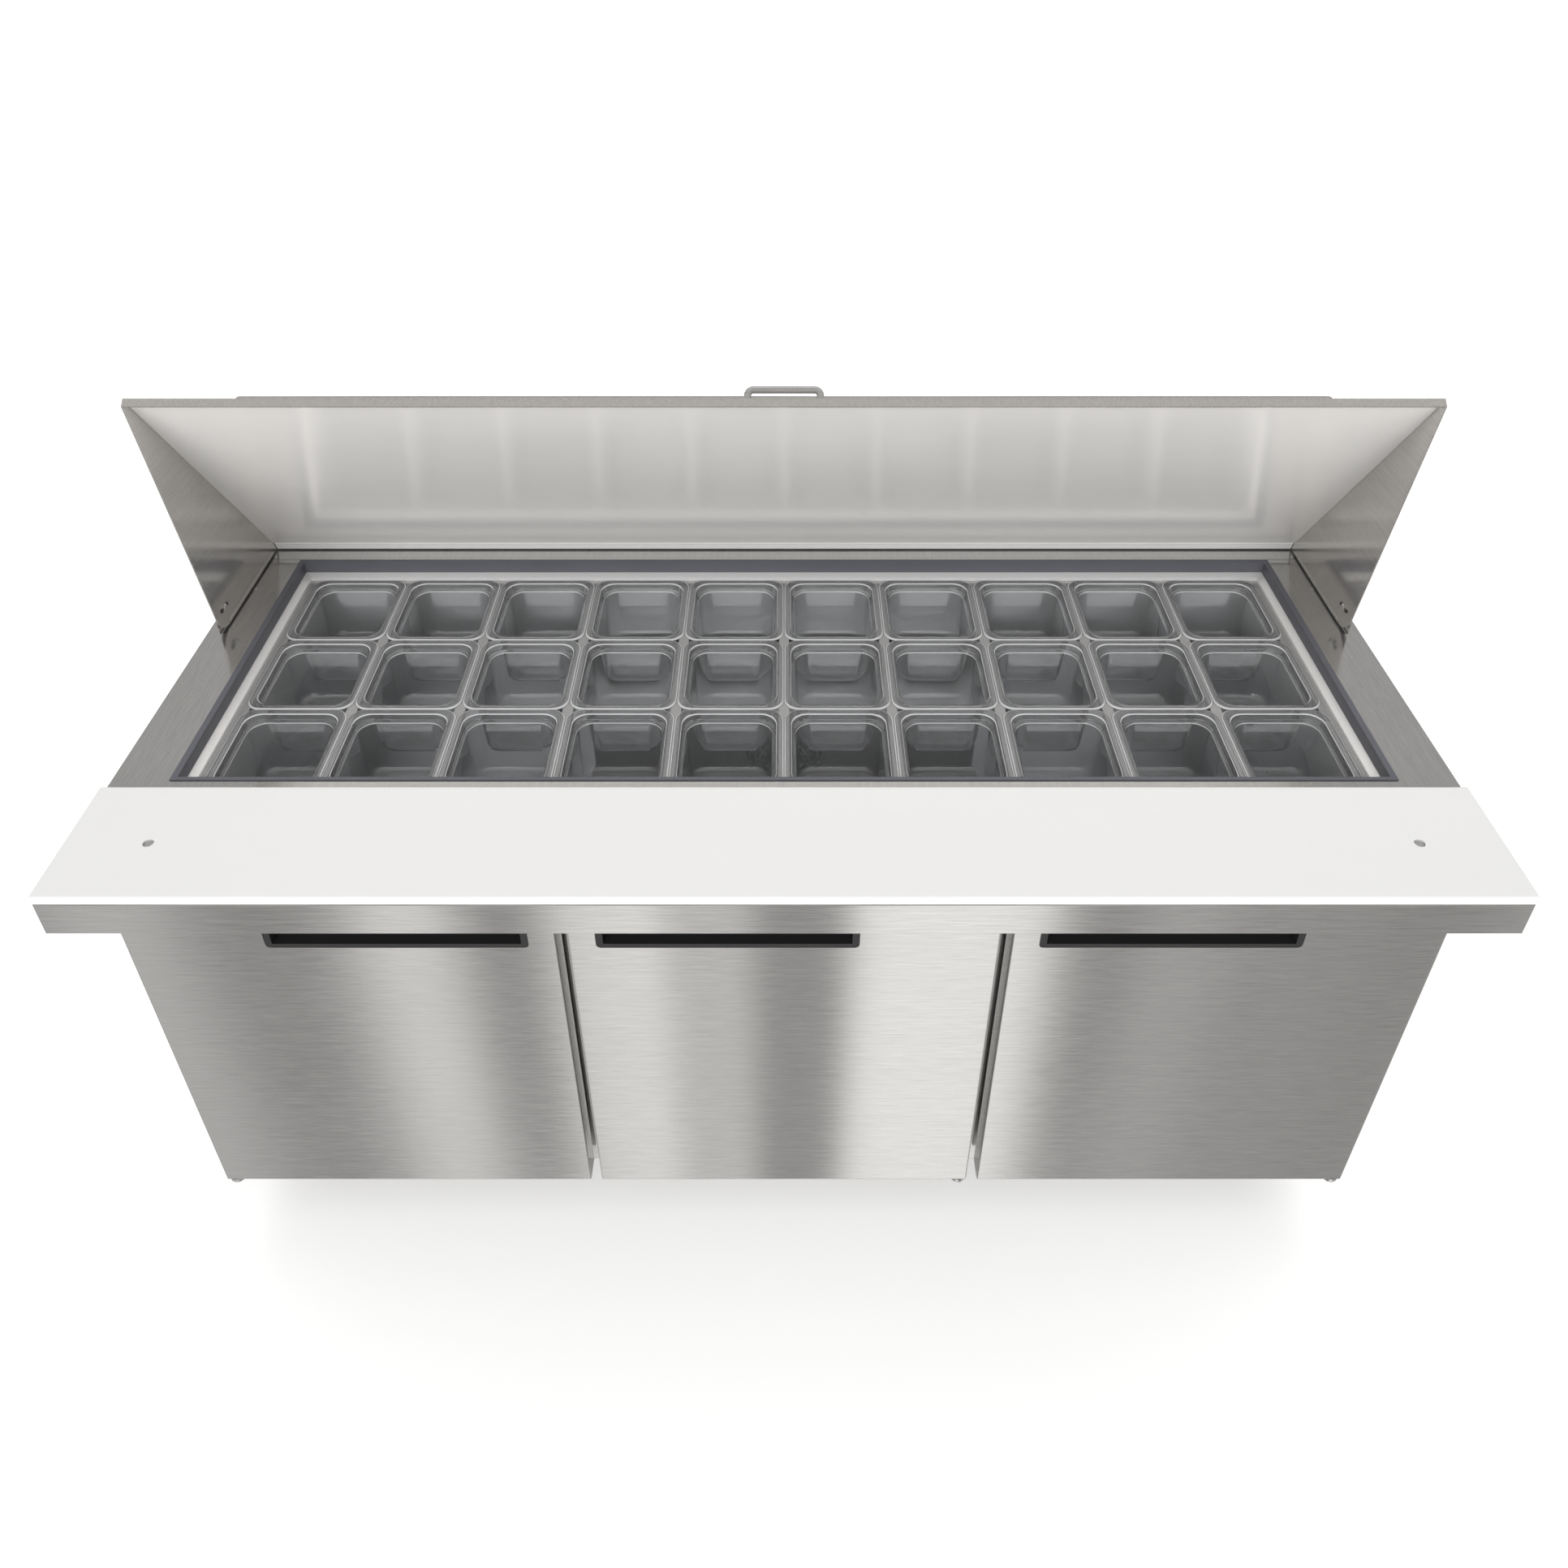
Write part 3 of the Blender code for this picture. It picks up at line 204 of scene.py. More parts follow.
class Graph:
    """Short ways to add nodes to a node tree."""

    def __init__(self, tree):
        self.tree = tree

    def add(self, kind, inputs=None, **settings):
        """A new node; inputs are values or sockets, settings are the node's own properties."""
        node = self.tree.nodes.new(kind)
        for name, value in settings.items():
            setattr(node, name, value)
        for key, value in (inputs or {}).items():
            self.feed(node.inputs[key], value)
        return node

    def feed(self, socket, value):
        """Link a socket to another one, or set it to a value."""
        if isinstance(value, bpy.types.NodeSocket):
            self.tree.links.new(value, socket)
        else:
            socket.default_value = value

    def maths(self, operation, first, second=None):
        """The result of a maths node."""
        inputs = {0: first} if second is None else {0: first, 1: second}
        return self.add("ShaderNodeMath", inputs, operation=operation).outputs[0]

    def sum(self, first, second):
        """The sum of two (value, share) pairs."""
        parts = [self.maths("MULTIPLY", value, share) for value, share in (first, second)]
        return self.maths("ADD", *parts)

    def span(self, value, low, high, start, end, smooth=False):
        """Value between low and high, mapped to between start and end."""
        inputs = {"Value": value, "From Min": low, "From Max": high, "To Min": start, "To Max": end}
        kind = "SMOOTHSTEP" if smooth else "LINEAR"
        return self.add("ShaderNodeMapRange", inputs, interpolation_type=kind).outputs[0]

    def blend(self, factor, first, second):
        """A number between first and second."""
        inputs = {0: factor, 2: first, 3: second}
        return self.add("ShaderNodeMix", inputs, data_type="FLOAT").outputs[0]

    def place(self, scale):
        """The object's own coordinates, stretched by scale."""
        coordinates = self.add("ShaderNodeTexCoord").outputs["Object"]
        return self.add("ShaderNodeMapping", {"Vector": coordinates, "Scale": scale}).outputs[0]

    def noise(self, place, scale=1.0, detail=3.0, roughness=0.55):
        inputs = {"Vector": place, "Scale": scale, "Detail": detail, "Roughness": roughness}
        return self.add("ShaderNodeTexNoise", inputs).outputs[0]

    def cells(self, place, scale=1.0):
        return self.add("ShaderNodeTexVoronoi", {"Vector": place, "Scale": scale}).outputs[0]

    def waves(self, place, scale, direction):
        inputs = {"Vector": place, "Scale": scale, "Distortion": 0.0}
        return self.add("ShaderNodeTexWave", inputs, bands_direction=direction).outputs[0]

    def mix(self, factor, first, second):
        """A colour between first and second."""
        node = self.add("ShaderNodeMix", {0: factor}, data_type="RGBA")
        self.feed(node.inputs[6], first)
        self.feed(node.inputs[7], second)
        return node.outputs[2]

    def mix_vectors(self, factor, first, second):
        """A vector between first and second."""
        node = self.add("ShaderNodeMix", {0: factor}, data_type="VECTOR")
        self.feed(node.inputs[4], first)
        self.feed(node.inputs[5], second)
        return node.outputs[1]

    def bump(self, height, strength, distance, normal=None):
        inputs = {"Height": height, "Strength": strength, "Distance": distance}
        node = self.add("ShaderNodeBump", inputs)
        if normal:
            self.feed(node.inputs["Normal"], normal)
        return node.outputs[0]


class Surface(Graph):
    """A Principled material, with its colour, roughness and metallic set on the shader."""

    def __init__(self, name, colour, roughness, metallic=0.0):
        self.material = bpy.data.materials.new(name)
        self.material.use_nodes = True
        super().__init__(self.material.node_tree)
        self.shader = self.tree.nodes["Principled BSDF"]
        self.colour = (*colour, 1.0)
        self.roughness = roughness
        self.set("Base Color", self.colour)
        self.set("Roughness", roughness)
        self.set("Metallic", metallic)
        self.material.diffuse_color = self.colour

    def set(self, name, value):
        self.feed(self.shader.inputs[name], value)

    def shade(self, share):
        """The base colour, this many times as bright."""
        return (*(min(1.0, part * share) for part in self.colour[:3]), 1.0)

    def vary(self, factor, dark, light):
        """Let the base colour follow a factor from dark to light shares of itself."""
        self.set("Base Color", self.mix(factor, self.shade(dark), self.shade(light)))

    def vary_roughness(self, factor, less, more):
        """Let the roughness follow a factor, from a little less to a little more than its own."""
        smoothest = self.roughness - less
        roughest = self.roughness + more
        self.set("Roughness", self.span(factor, 0.25, 0.75, smoothest, roughest))


# ---------------------------------------------------------------- materials

def brushed_steel(name, colour=(0.62, 0.612, 0.60), roughness=0.13, grain=0.02, anisotropy=0.9,
                  across=False, metallic=0.9):
    """Stainless sheet brushed along the table, and front to back on faces that look sideways.

    With across, the sheet is brushed front to back everywhere."""
    surface = Surface(name, colour, roughness, metallic)
    normal = surface.add("ShaderNodeTexCoord").outputs["Normal"]
    normal_x = surface.add("ShaderNodeSeparateXYZ", {"Vector": normal}).outputs["X"]
    threshold = -1.0 if across else 0.7
    sideways = surface.maths("GREATER_THAN", surface.maths("ABSOLUTE", normal_x), threshold)

    fine_places = (surface.place((22, 560, 560)), surface.place((560, 22, 560)))
    broad_places = (surface.place((2.5, 260, 260)), surface.place((260, 2.5, 260)))
    fine = surface.noise(surface.mix_vectors(sideways, *fine_places), detail=2.0)
    broad = surface.noise(surface.mix_vectors(sideways, *broad_places), detail=3.0)
    smudges = surface.noise(surface.place((3.1, 3.7, 4.3)), detail=4.0)

    streaks = surface.sum((fine, 0.75), (broad, 0.25))
    surface.vary(surface.span(streaks, 0.36, 0.64, 0.0, 1.0), 0.92, 1.06)
    wear = surface.sum((streaks, 0.7), (smudges, 0.3))
    surface.vary_roughness(wear, 0.02, 0.03)

    rounded = surface.add("ShaderNodeBevel", {"Radius": 0.0010}, samples=3).outputs[0]
    surface.set("Normal", surface.bump(streaks, grain, 0.0006, rounded))
    surface.set("Anisotropic", anisotropy)
    surface.set("Anisotropic Rotation", 0.25)
    along = surface.mix_vectors(sideways, (1, 0, 0), (0, 1, 0))
    tangent = surface.add("ShaderNodeVectorTransform", {"Vector": along}, vector_type="VECTOR",
                          convert_from="OBJECT", convert_to="WORLD")
    surface.set("Tangent", tangent.outputs[0])
    return surface.material


def satin_steel(name, colour, roughness, metallic):
    """Plain satin sheet, rolled rather than brushed."""
    surface = Surface(name, colour, roughness, metallic)
    haze = surface.noise(surface.place((3.0, 3.0, 3.0)), detail=3.0)
    grain = surface.noise(surface.place((60, 500, 500)), detail=1.0)
    surface.vary(surface.span(grain, 0.3, 0.7, 0.0, 1.0), 0.97, 1.02)
    surface.vary_roughness(haze, 0.03, 0.04)
    surface.set("Normal", surface.add("ShaderNodeBevel", {"Radius": 0.0008}, samples=3).outputs[0])
    return surface.material


def satin_liner():
    """Fine satin sheet inside the lid, with soft, blurred reflections."""
    surface = Surface("satin_liner", (0.97, 0.95, 0.925), 0.15, 0.27)
    haze = surface.noise(surface.place((2.0, 5.0, 5.0)), detail=3.0)
    fine = surface.noise(surface.place((8, 400, 400)), detail=2.0)
    surface.vary(surface.span(haze, 0.3, 0.7, 0.0, 1.0), 0.98, 1.02)
    surface.vary_roughness(haze, 0.02, 0.03)
    surface.set("Normal", surface.bump(fine, 0.02, 0.0003))
    return surface.material


def mill_aluminium():
    """Rolled sheet with faint roll lines and a stucco-like unevenness."""
    surface = Surface("mill_aluminium", (0.72, 0.725, 0.73), 0.38, 1.0)
    rolled = surface.noise(surface.place((900, 30, 6)), detail=2.0)
    dents = surface.cells(surface.place((1, 1, 1)), 160)
    surface.vary(surface.span(rolled, 0.3, 0.7, 0.0, 1.0), 0.94, 1.04)
    surface.vary_roughness(rolled, 0.05, 0.08)
    surface.set("Normal", surface.bump(dents, 0.10, 0.0006))
    return surface.material


def finned(name, colour, metallic):
    """A coil's face: thin upright fins, crossed by the rows of tubes behind them. Its base colour holds
    painted shade: dark in the gaps between the fins, and darker in bands across the rows of tubes.
    """
    surface = Surface(name, colour, 0.45, metallic)
    fins = surface.waves(surface.place((1, 1, 1)), 80, "X")
    tubes = surface.waves(surface.place((1, 1, 1)), 6, "Z")
    # Painted shade in the gaps between the fins, deeper in bands across the tube rows.
    depth = surface.maths("MULTIPLY", fins, surface.span(tubes, 0.0, 1.0, 0.75, 1.0))
    surface.vary(depth, 0.25, 1.05)
    surface.set("Normal", surface.bump(fins, 0.6, 0.001))
    return surface.material


def zinc_plate():
    """Galvanised sheet with faint spangle."""
    surface = Surface("zinc_plate", (0.55, 0.56, 0.57), 0.42, 1.0)
    spangle = surface.cells(surface.place((1, 1, 1)), 90)
    surface.vary(surface.span(spangle, 0.0, 0.8, 0.0, 1.0), 0.85, 1.08)
    surface.vary_roughness(spangle, 0.06, 0.08)
    surface.set("Normal", surface.bump(spangle, 0.05, 0.0004))
    return surface.material


def coated_wire():
    """Grey epoxy coating on the shelf wires."""
    surface = Surface("coated_wire", (0.66, 0.67, 0.68), 0.35)
    runs = surface.noise(surface.place((60, 60, 60)), detail=3.0)
    surface.vary(runs, 0.92, 1.05)
    surface.vary_roughness(runs, 0.05, 0.08)
    surface.set("Normal", surface.bump(runs, 0.10, 0.0006))
    return surface.material


def white_polythene():
    """Cutting board: fine moulded grain, faint knife marks and a soft glow under its surface."""
    surface = Surface("white_polythene", (0.77, 0.77, 0.765), 0.45)
    grain = surface.noise(surface.place((1, 1, 1)), 900, detail=2.0)
    knife_marks = surface.noise(surface.place((700, 9, 9)), detail=2.0, roughness=0.7)
    other_marks = surface.noise(surface.place((14, 620, 9)), detail=2.0, roughness=0.7)
    marks = surface.maths("MAXIMUM", surface.span(knife_marks, 0.66, 0.78, 0.0, 1.0),
                          surface.span(other_marks, 0.68, 0.80, 0.0, 1.0))
    patches = surface.noise(surface.place((2.2, 5.0, 5.0)), detail=4.0)
    surface.vary(patches, 0.985, 1.01)
    surface.vary_roughness(patches, 0.05, 0.06)
    height = surface.sum((grain, 0.5), (marks, -0.25))
    surface.set("Normal", surface.bump(height, 0.08, 0.0004))
    surface.set("Subsurface Weight", 0.12)
    surface.set("Subsurface Radius", (0.006, 0.006, 0.006))
    return surface.material


def moulded_plastic(name, colour, roughness):
    """Injection-moulded plastic with a fine leathery grain and slightly shiny rubbed patches."""
    surface = Surface(name, colour, roughness)
    texture = surface.noise(surface.place((1, 1, 1)), 1100, detail=2.0)
    rubbed = surface.noise(surface.place((1, 1, 1)), 9, detail=4.0)
    surface.vary(rubbed, 0.88, 1.12)
    surface.vary_roughness(rubbed, 0.07, 0.07)
    surface.set("Specular IOR Level", 0.3)
    surface.set("Normal", surface.bump(texture, 0.15, 0.0003))
    return surface.material


def clear_pan_plastic():
    """Clear polycarbonate with a faint grey body and light scuffs."""
    surface = Surface("clear_polycarbonate", (0.86, 0.87, 0.88), 0.05)
    scuffs = surface.noise(surface.place((1, 1, 1)), 45, detail=6.0, roughness=0.7)
    surface.vary_roughness(scuffs, 0.03, 0.03)
    surface.set("Transmission Weight", 0.93)
    surface.set("IOR", 1.58)
    return surface.material


def rim_highlight_plastic():
    """The same plastic at a rolled edge, painted paler and less clear: a painted highlight for the bright
    lines along the pans' rims.
    """
    surface = Surface("clear_polycarbonate_rim_highlight", (0.90, 0.91, 0.92), 0.16)
    rubbed = surface.noise(surface.place((1, 1, 1)), 60, detail=4.0)
    surface.vary(rubbed, 0.93, 1.03)
    surface.vary_roughness(rubbed, 0.05, 0.10)
    surface.set("Transmission Weight", 0.35)
    surface.set("IOR", 1.58)
    return surface.material


def gasket_rubber():
    """Dark magnetic door gasket with a little dust on it."""
    surface = Surface("gasket_rubber", (0.035, 0.035, 0.037), 0.6)
    dust = surface.noise(surface.place((1, 1, 1)), 55, detail=5.0)
    surface.vary(dust, 0.8, 1.5)
    surface.vary_roughness(dust, 0.06, 0.1)
    surface.set("Normal", surface.bump(dust, 0.12, 0.0004))
    return surface.material


def black_enamel():
    """Baked enamel with a slight orange peel."""
    surface = Surface("black_enamel", (0.022, 0.022, 0.024), 0.28)
    peel = surface.noise(surface.place((1, 1, 1)), 330, detail=1.0)
    dust = surface.noise(surface.place((1, 1, 1)), 14, detail=5.0)
    surface.vary(dust, 0.8, 2.0)
    surface.vary_roughness(dust, 0.05, 0.15)
    surface.set("Normal", surface.bump(peel, 0.12, 0.0004))
    return surface.material


def bare_copper():
    """Copper tube, tarnished in patches."""
    surface = Surface("bare_copper", (0.75, 0.36, 0.23), 0.3, 1.0)
    tarnish = surface.noise(surface.place((1, 1, 1)), 38, detail=5.0)
    surface.vary(tarnish, 0.55, 1.1)
    surface.vary_roughness(tarnish, 0.06, 0.2)
    surface.set("Normal", surface.bump(tarnish, 0.05, 0.0004))
    return surface.material


def make_materials():
    """Every finish, by name. The first eleven answer to the record's material slots."""
    return {
        "stainless": brushed_steel("brushed_stainless"),
        "lid_lining": satin_liner(),
        "inner_aluminium": mill_aluminium(),
        "galvanised": zinc_plate(),
        "board": white_polythene(),
        "frame_plastic": moulded_plastic("grey_frame_plastic", (0.115, 0.118, 0.135), 0.38),
        "pan_plastic": clear_pan_plastic(),
        "black_plastic": moulded_plastic("black_plastic", (0.026, 0.026, 0.026), 0.42),
        "seal_rubber": gasket_rubber(),
        "black_enamel": black_enamel(),
        "copper": bare_copper(),
        "wire": coated_wire(),
        "evaporator_fins": finned("evaporator_fins", (0.70, 0.71, 0.72), 1.0),
        "condenser_fins": finned("condenser_fins", (0.05, 0.05, 0.055), 0.3),
        "smooth_steel": brushed_steel("bright_steel", (0.66, 0.655, 0.645), 0.20, 0.03,
                                      anisotropy=0.3),
        "worktop_steel": brushed_steel("worktop_stainless", (0.58, 0.575, 0.565), 0.13, 0.05,
                                       anisotropy=0.3, across=True),
        "lid_steel": brushed_steel("lid_stainless", (0.64, 0.62, 0.595), 0.15, 0.04,
                                   anisotropy=0.3, across=True, metallic=0.8),
        "rack_steel": satin_steel("rack_stainless", (0.50, 0.498, 0.495), 0.24, 0.6),
        "ledge_steel": satin_steel("ledge_stainless", (0.90, 0.895, 0.89), 0.24, 0.38),
        # Near-white and barely metallic: a painted highlight for the shine of the lid's lip trim.
        "trim": satin_steel("highlight_painted_trim", (0.95, 0.945, 0.935), 0.25, 0.15),
        # Paler, less clear plastic on the pans' rolled edges: a painted highlight for their bright rim
        # lines.
        "rim_highlight": rim_highlight_plastic(),
    }


def paint_cad(frame, finishes):
    """Give every CAD node its finish: its record slot's, or a better one for its job."""
    special = {
        "evaporator_coil": "evaporator_fins",
        "condenser_coil": "condenser_fins",
        "worktop": "worktop_steel",
        "rear_hood": "lid_steel",
        "lid_shell": "lid_steel",
        "pan_rack": "rack_steel",
        "well_liner": "ledge_steel",
        "lid_handle": "smooth_steel",
        "lid_pivot_left": "smooth_steel",
        "lid_pivot_right": "smooth_steel",
        "board_pin_left": "smooth_steel",
        "board_pin_right": "smooth_steel",
    }
    for entry in frame["record"]["subparts"]:
        node = frame["nodes"][entry["node"]]
        finish = finishes[special.get(entry["node"], entry["material_slot"])]
        node.data.materials.clear()
        node.data.materials.append(finish)


# ---------------------------------------------------------------- mesh helpers

def add_piece(name, shape, finish=None, smooth=None):
    """Turn a bmesh into a linked object; smooth is the angle above which edges stay sharp."""
    mesh = bpy.data.meshes.new(name)
    bmesh.ops.recalc_face_normals(shape, faces=shape.faces)
    shape.to_mesh(mesh)
    shape.free()
    piece = bpy.data.objects.new(name, mesh)
    bpy.context.scene.collection.objects.link(piece)
    if finish:
        mesh.materials.append(finish)
    if smooth:
        mesh.shade_smooth()
        mesh.set_sharp_from_angle(angle=math.radians(smooth))
    return piece


def skin(shape, rings, closed_ends=True, loop=False):
    """Faces through rings of points that all have the same number of points."""
    corners = [[shape.verts.new(place) for place in ring] for ring in rings]
    pairs = list(zip(corners, corners[1:]))
    if loop:
        pairs.append((corners[-1], corners[0]))
    for near, far in pairs:
        for i, corner in enumerate(near):
            j = (i + 1) % len(near)
            shape.faces.new((corner, near[j], far[j], far[i]))
    if closed_ends and not loop:
        shape.faces.new(reversed(corners[0]))
        shape.faces.new(corners[-1])


def box(shape, low, high):
    """A box between two corners."""
    (x0, y0, z0), (x1, y1, z1) = low, high
    outline = ((x0, y0), (x1, y0), (x1, y1), (x0, y1))
    skin(shape, [[(x, y, z) for x, y in outline] for z in (z0, z1)])


def rounded_rectangle(width, length, radius, steps=6):
    """Points round a rectangle with round corners, centred on the origin."""
    outline = []
    for quarter, (sign_x, sign_y) in enumerate(((1, 1), (-1, 1), (-1, -1), (1, -1))):
        for step in range(steps + 1):
            angle = math.radians(90) * (quarter + step / steps)
            outline.append((sign_x * (width / 2 - radius) + radius * math.cos(angle),
                            sign_y * (length / 2 - radius) + radius * math.sin(angle)))
    return outline


def square_to(axis, spare=(1, 0, 0)):
    """Two unit vectors square to an axis and to each other; spare serves an upright axis."""
    helper = Vector((0, 0, 1)) if abs(axis.z) < 0.9 else Vector(spare)
    first = axis.cross(helper).normalized()
    return first, axis.cross(first)


def circle(centre, first, second, radius, sides):
    """Points of a circle in the plane of two unit vectors."""
    turns = [2 * math.pi * i / sides for i in range(sides)]
    return [centre + first * radius * math.cos(turn) + second * radius * math.sin(turn)
            for turn in turns]


def tube(shape, path, radius, sides=10, loop=False):
    """A round wire along a path of points."""
    path = [Vector(place) for place in path]
    rings = []
    count = len(path)
    for i, place in enumerate(path):
        before = path[(i - 1) % count] if loop or i else place
        after = path[(i + 1) % count] if loop or i < count - 1 else place
        first, second = square_to((after - before).normalized(), (0, 1, 0))
        rings.append(circle(place, first, second, radius, sides))
    skin(shape, rings, loop=loop)


def turned(shape, profile, place, axis, sides=24):
    """A solid of revolution: profile is (radius, distance along axis)."""
    axis = Vector(axis).normalized()
    first, second = square_to(axis)
    skin(shape, [circle(Vector(place) + axis * along, first, second, radius, sides)
                 for radius, along in profile])


def screw_head(shape, place, axis, radius=SCREW_RADIUS):
    """A low domed head with a pressed cross recess. The dome's sizes are shares of its radius."""
    axis = Vector(axis).normalized()
    first, second = square_to(axis)
    sides = 24
    dome = ((1.0, 0.0), (1.0, 0.16), (0.9, 0.36), (0.72, 0.50), (0.52, 0.57), (0.34, 0.60), (0.14, 0.60))
    rings = []
    for share, height in dome:
        ring = []
        for i in range(sides):
            turn = 2 * math.pi * i / sides
            slot = abs(math.sin(2 * turn)) < 0.55 and share < 0.6
            lift = (height - 0.34 if slot or share < 0.2 else height) * radius
            spread = share * radius
            ring.append(Vector(place) + axis * lift + first * spread * math.cos(turn)
                        + second * spread * math.sin(turn))
        rings.append(ring)
    skin(shape, rings)


def finish_piece(name, shape, finish, body, smooth=35):
    """Add a piece with the given finish that rides on a CAD body."""
    piece = add_piece(name, shape, finish, smooth)
    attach(piece, body)
    return piece


# ---------------------------------------------------------------- food pans

def pan_mesh(finishes):
    """One thin-walled food pan with its origin at the middle of its rim's top.

    Each section is a list of (inset, height, softer corner) from the rim to the floor, or back up.
    The rolled edges are spans of the inside section, which take the paler, less clear plastic as a
    painted highlight."""
    highlighted_rim_spans = ((0, 3), (5, 6), (11, 12))
    inside = [(0.0000, -0.0029, 0.0), (0.0000, -0.0012, 0.0), (0.0005, -0.0003, 0.0), (0.0014, 0.0, 0.0),
              (0.0085, 0.0, 0.0), (0.0096, -0.0004, 0.001), (0.0106, -0.0016, 0.002),
              (0.0118, -0.0085, 0.003), (0.0122, -0.0102, 0.003), (0.0138, -0.0112, 0.004),
              (0.0150, -0.0120, 0.004), (0.0157, -0.0128, 0.004), (0.0160, -0.0142, 0.004),
              (0.0205, -0.0880, 0.002), (0.0218, -0.0930, 0.002), (0.0250, -0.0962, 0.001),
              (0.0300, -0.0974, 0.0)]
    outside = [(0.0290, -0.0998, 0.0), (0.0238, -0.0984, 0.001), (0.0198, -0.0944, 0.002),
               (0.0181, -0.0885, 0.002), (0.0133, -0.0150, 0.004), (0.0102, -0.0115, 0.003),
               (0.0094, -0.0085, 0.002), (0.0088, -0.0030, 0.001), (0.0080, -0.0024, 0.0),
               (0.0022, -0.0024, 0.0), (0.0018, -0.0029, 0.0)]
    shape = bmesh.new()
    rings = [pan_ring(*part) for part in inside]
    skin(shape, rings, closed_ends=False)
    around = len(rings[0])
    shape.faces.ensure_lookup_table()
    # The rolled edges get the paler plastic, a painted highlight.
    for first, last in highlighted_rim_spans:
        for face in shape.faces[first * around:last * around]:
            face.material_index = 1
    shape.faces.new([shape.verts.new(place) for place in rings[-1]])
    rings = [pan_ring(*inside[0])] + [pan_ring(*part) for part in reversed(outside)]
    skin(shape, rings, closed_ends=False)
    shape.faces.new([shape.verts.new(place) for place in rings[-1]])
    bmesh.ops.remove_doubles(shape, verts=shape.verts, dist=0.00001)
    piece = add_piece("food_pan", shape, finishes["pan_plastic"], 40)
    mesh = piece.data
    mesh.materials.append(finishes["rim_highlight"])
    bpy.data.objects.remove(piece)
    return mesh


def pan_ring(inset, height, softer):
    """A level ring of the pan, inset from its rim; softer adds to its corner radius."""
    width, length = PAN_RIM_SIZE
    outline = rounded_rectangle(width - 2 * inset, length - 2 * inset, PAN_RIM_RADIUS + softer)
    return [(x, y, height) for x, y in outline]


def make_pans(finishes):
    """Thirty separate pans in place of the ten joined columns."""
    mesh = pan_mesh(finishes)
    for column in range(1, COLUMNS + 1):
        low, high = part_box(f"pan_column_{column:02d}")
        for row in range(ROWS):
            pan = bpy.data.objects.new(f"food_pan_{column:02d}_{row + 1}", mesh)
            bpy.context.scene.collection.objects.link(pan)
            offset = (row - (ROWS - 1) / 2) * PAN_PITCH_Y
            pan.location = ((low.x + high.x) / 2, (low.y + high.y) / 2 + offset, high.z)
            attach(pan, f"pans_{column:02d}")
            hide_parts(f"pan_column_{column:02d}")


# ---------------------------------------------------------------- shelves

def make_shelves(finishes):
    """Round-wire shelves in place of the square-wire ones."""
    for name in DOOR_NAMES:
        low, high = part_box(f"shelf_{name}")
        shape = bmesh.new()
        add_shelf_border(shape, low, high)
        add_shelf_wires(shape, low, high)
        piece = finish_piece(f"wire_shelf_{name}", shape, finishes["wire"], f"{name}_shelf",
                             50)
        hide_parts(f"shelf_{name}")


def add_shelf_border(shape, low, high):
    """The thick wire round a shelf and the three rods that cross it from side to side."""
    middle = (low + high) / 2
    width = high.x - low.x - 2 * SHELF_BORDER
    length = high.y - low.y - 2 * SHELF_BORDER
    level = low.z + SHELF_BORDER
    outline = rounded_rectangle(width, length, 0.014, 4)
    tube(shape, [(middle.x + x, middle.y + y, level) for x, y in outline], SHELF_BORDER, loop=True)
    for share in (-0.31, 0.0, 0.31):
        y = middle.y + share * (high.y - low.y)
        rod = [(low.x + SHELF_BORDER, y, level), (high.x - SHELF_BORDER, y, level)]
        tube(shape, rod, SHELF_BORDER * 0.85)


def add_shelf_wires(shape, low, high):
    """The thin wires from front to back, bent down at both ends to meet the border."""
    level = low.z + SHELF_BORDER
    top = high.z - SHELF_WIRE
    front = low.y + SHELF_BORDER
    back = high.y - SHELF_BORDER
    for number in range(SHELF_WIRES):
        x = low.x + (number + 1) * (high.x - low.x) / (SHELF_WIRES + 1)
        tube(shape, [(x, front, level), (x, front, top), (x, back, top), (x, back, level)], SHELF_WIRE, 8)


# ---------------------------------------------------------------- doors

def make_door_details(finishes):
    """Inner panel, profiled gasket and hinge screws of each door."""
    for name in DOOR_NAMES:
        make_gasket(name, finishes)
        make_inner_panel(name, finishes)
        make_hinge_screws(name, finishes)


def make_gasket(name, finishes):
    """Magnetic gasket: a cushion on a base, mitred at its corners.

    The profile is (inset from the gasket's outline, share of its depth)."""
    low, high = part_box(f"door_{name}_gasket")
    depth = high.y - low.y
    width = 0.020
    profile = [(0.002, 0.0), (0.000, 0.14), (0.004, 0.30), (0.001, 0.48), (0.001, 0.86), (0.003, 1.0),
               (width - 0.005, 1.0), (width - 0.003, 0.86), (width - 0.003, 0.48), (width - 0.006, 0.30),
               (width, 0.14), (width - 0.002, 0.0)]
    rings = []
    for inset, share in profile:
        y = low.y + share * depth
        rings.append([(low.x + inset, y, low.z + inset), (high.x - inset, y, low.z + inset),
                      (high.x - inset, y, high.z - inset), (low.x + inset, y, high.z - inset)])
    shape = bmesh.new()
    skin(shape, rings, loop=True)
    piece = finish_piece(f"door_{name}_seal", shape, finishes["seal_rubber"], f"{name}_door",
                         50)
    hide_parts(f"door_{name}_gasket")


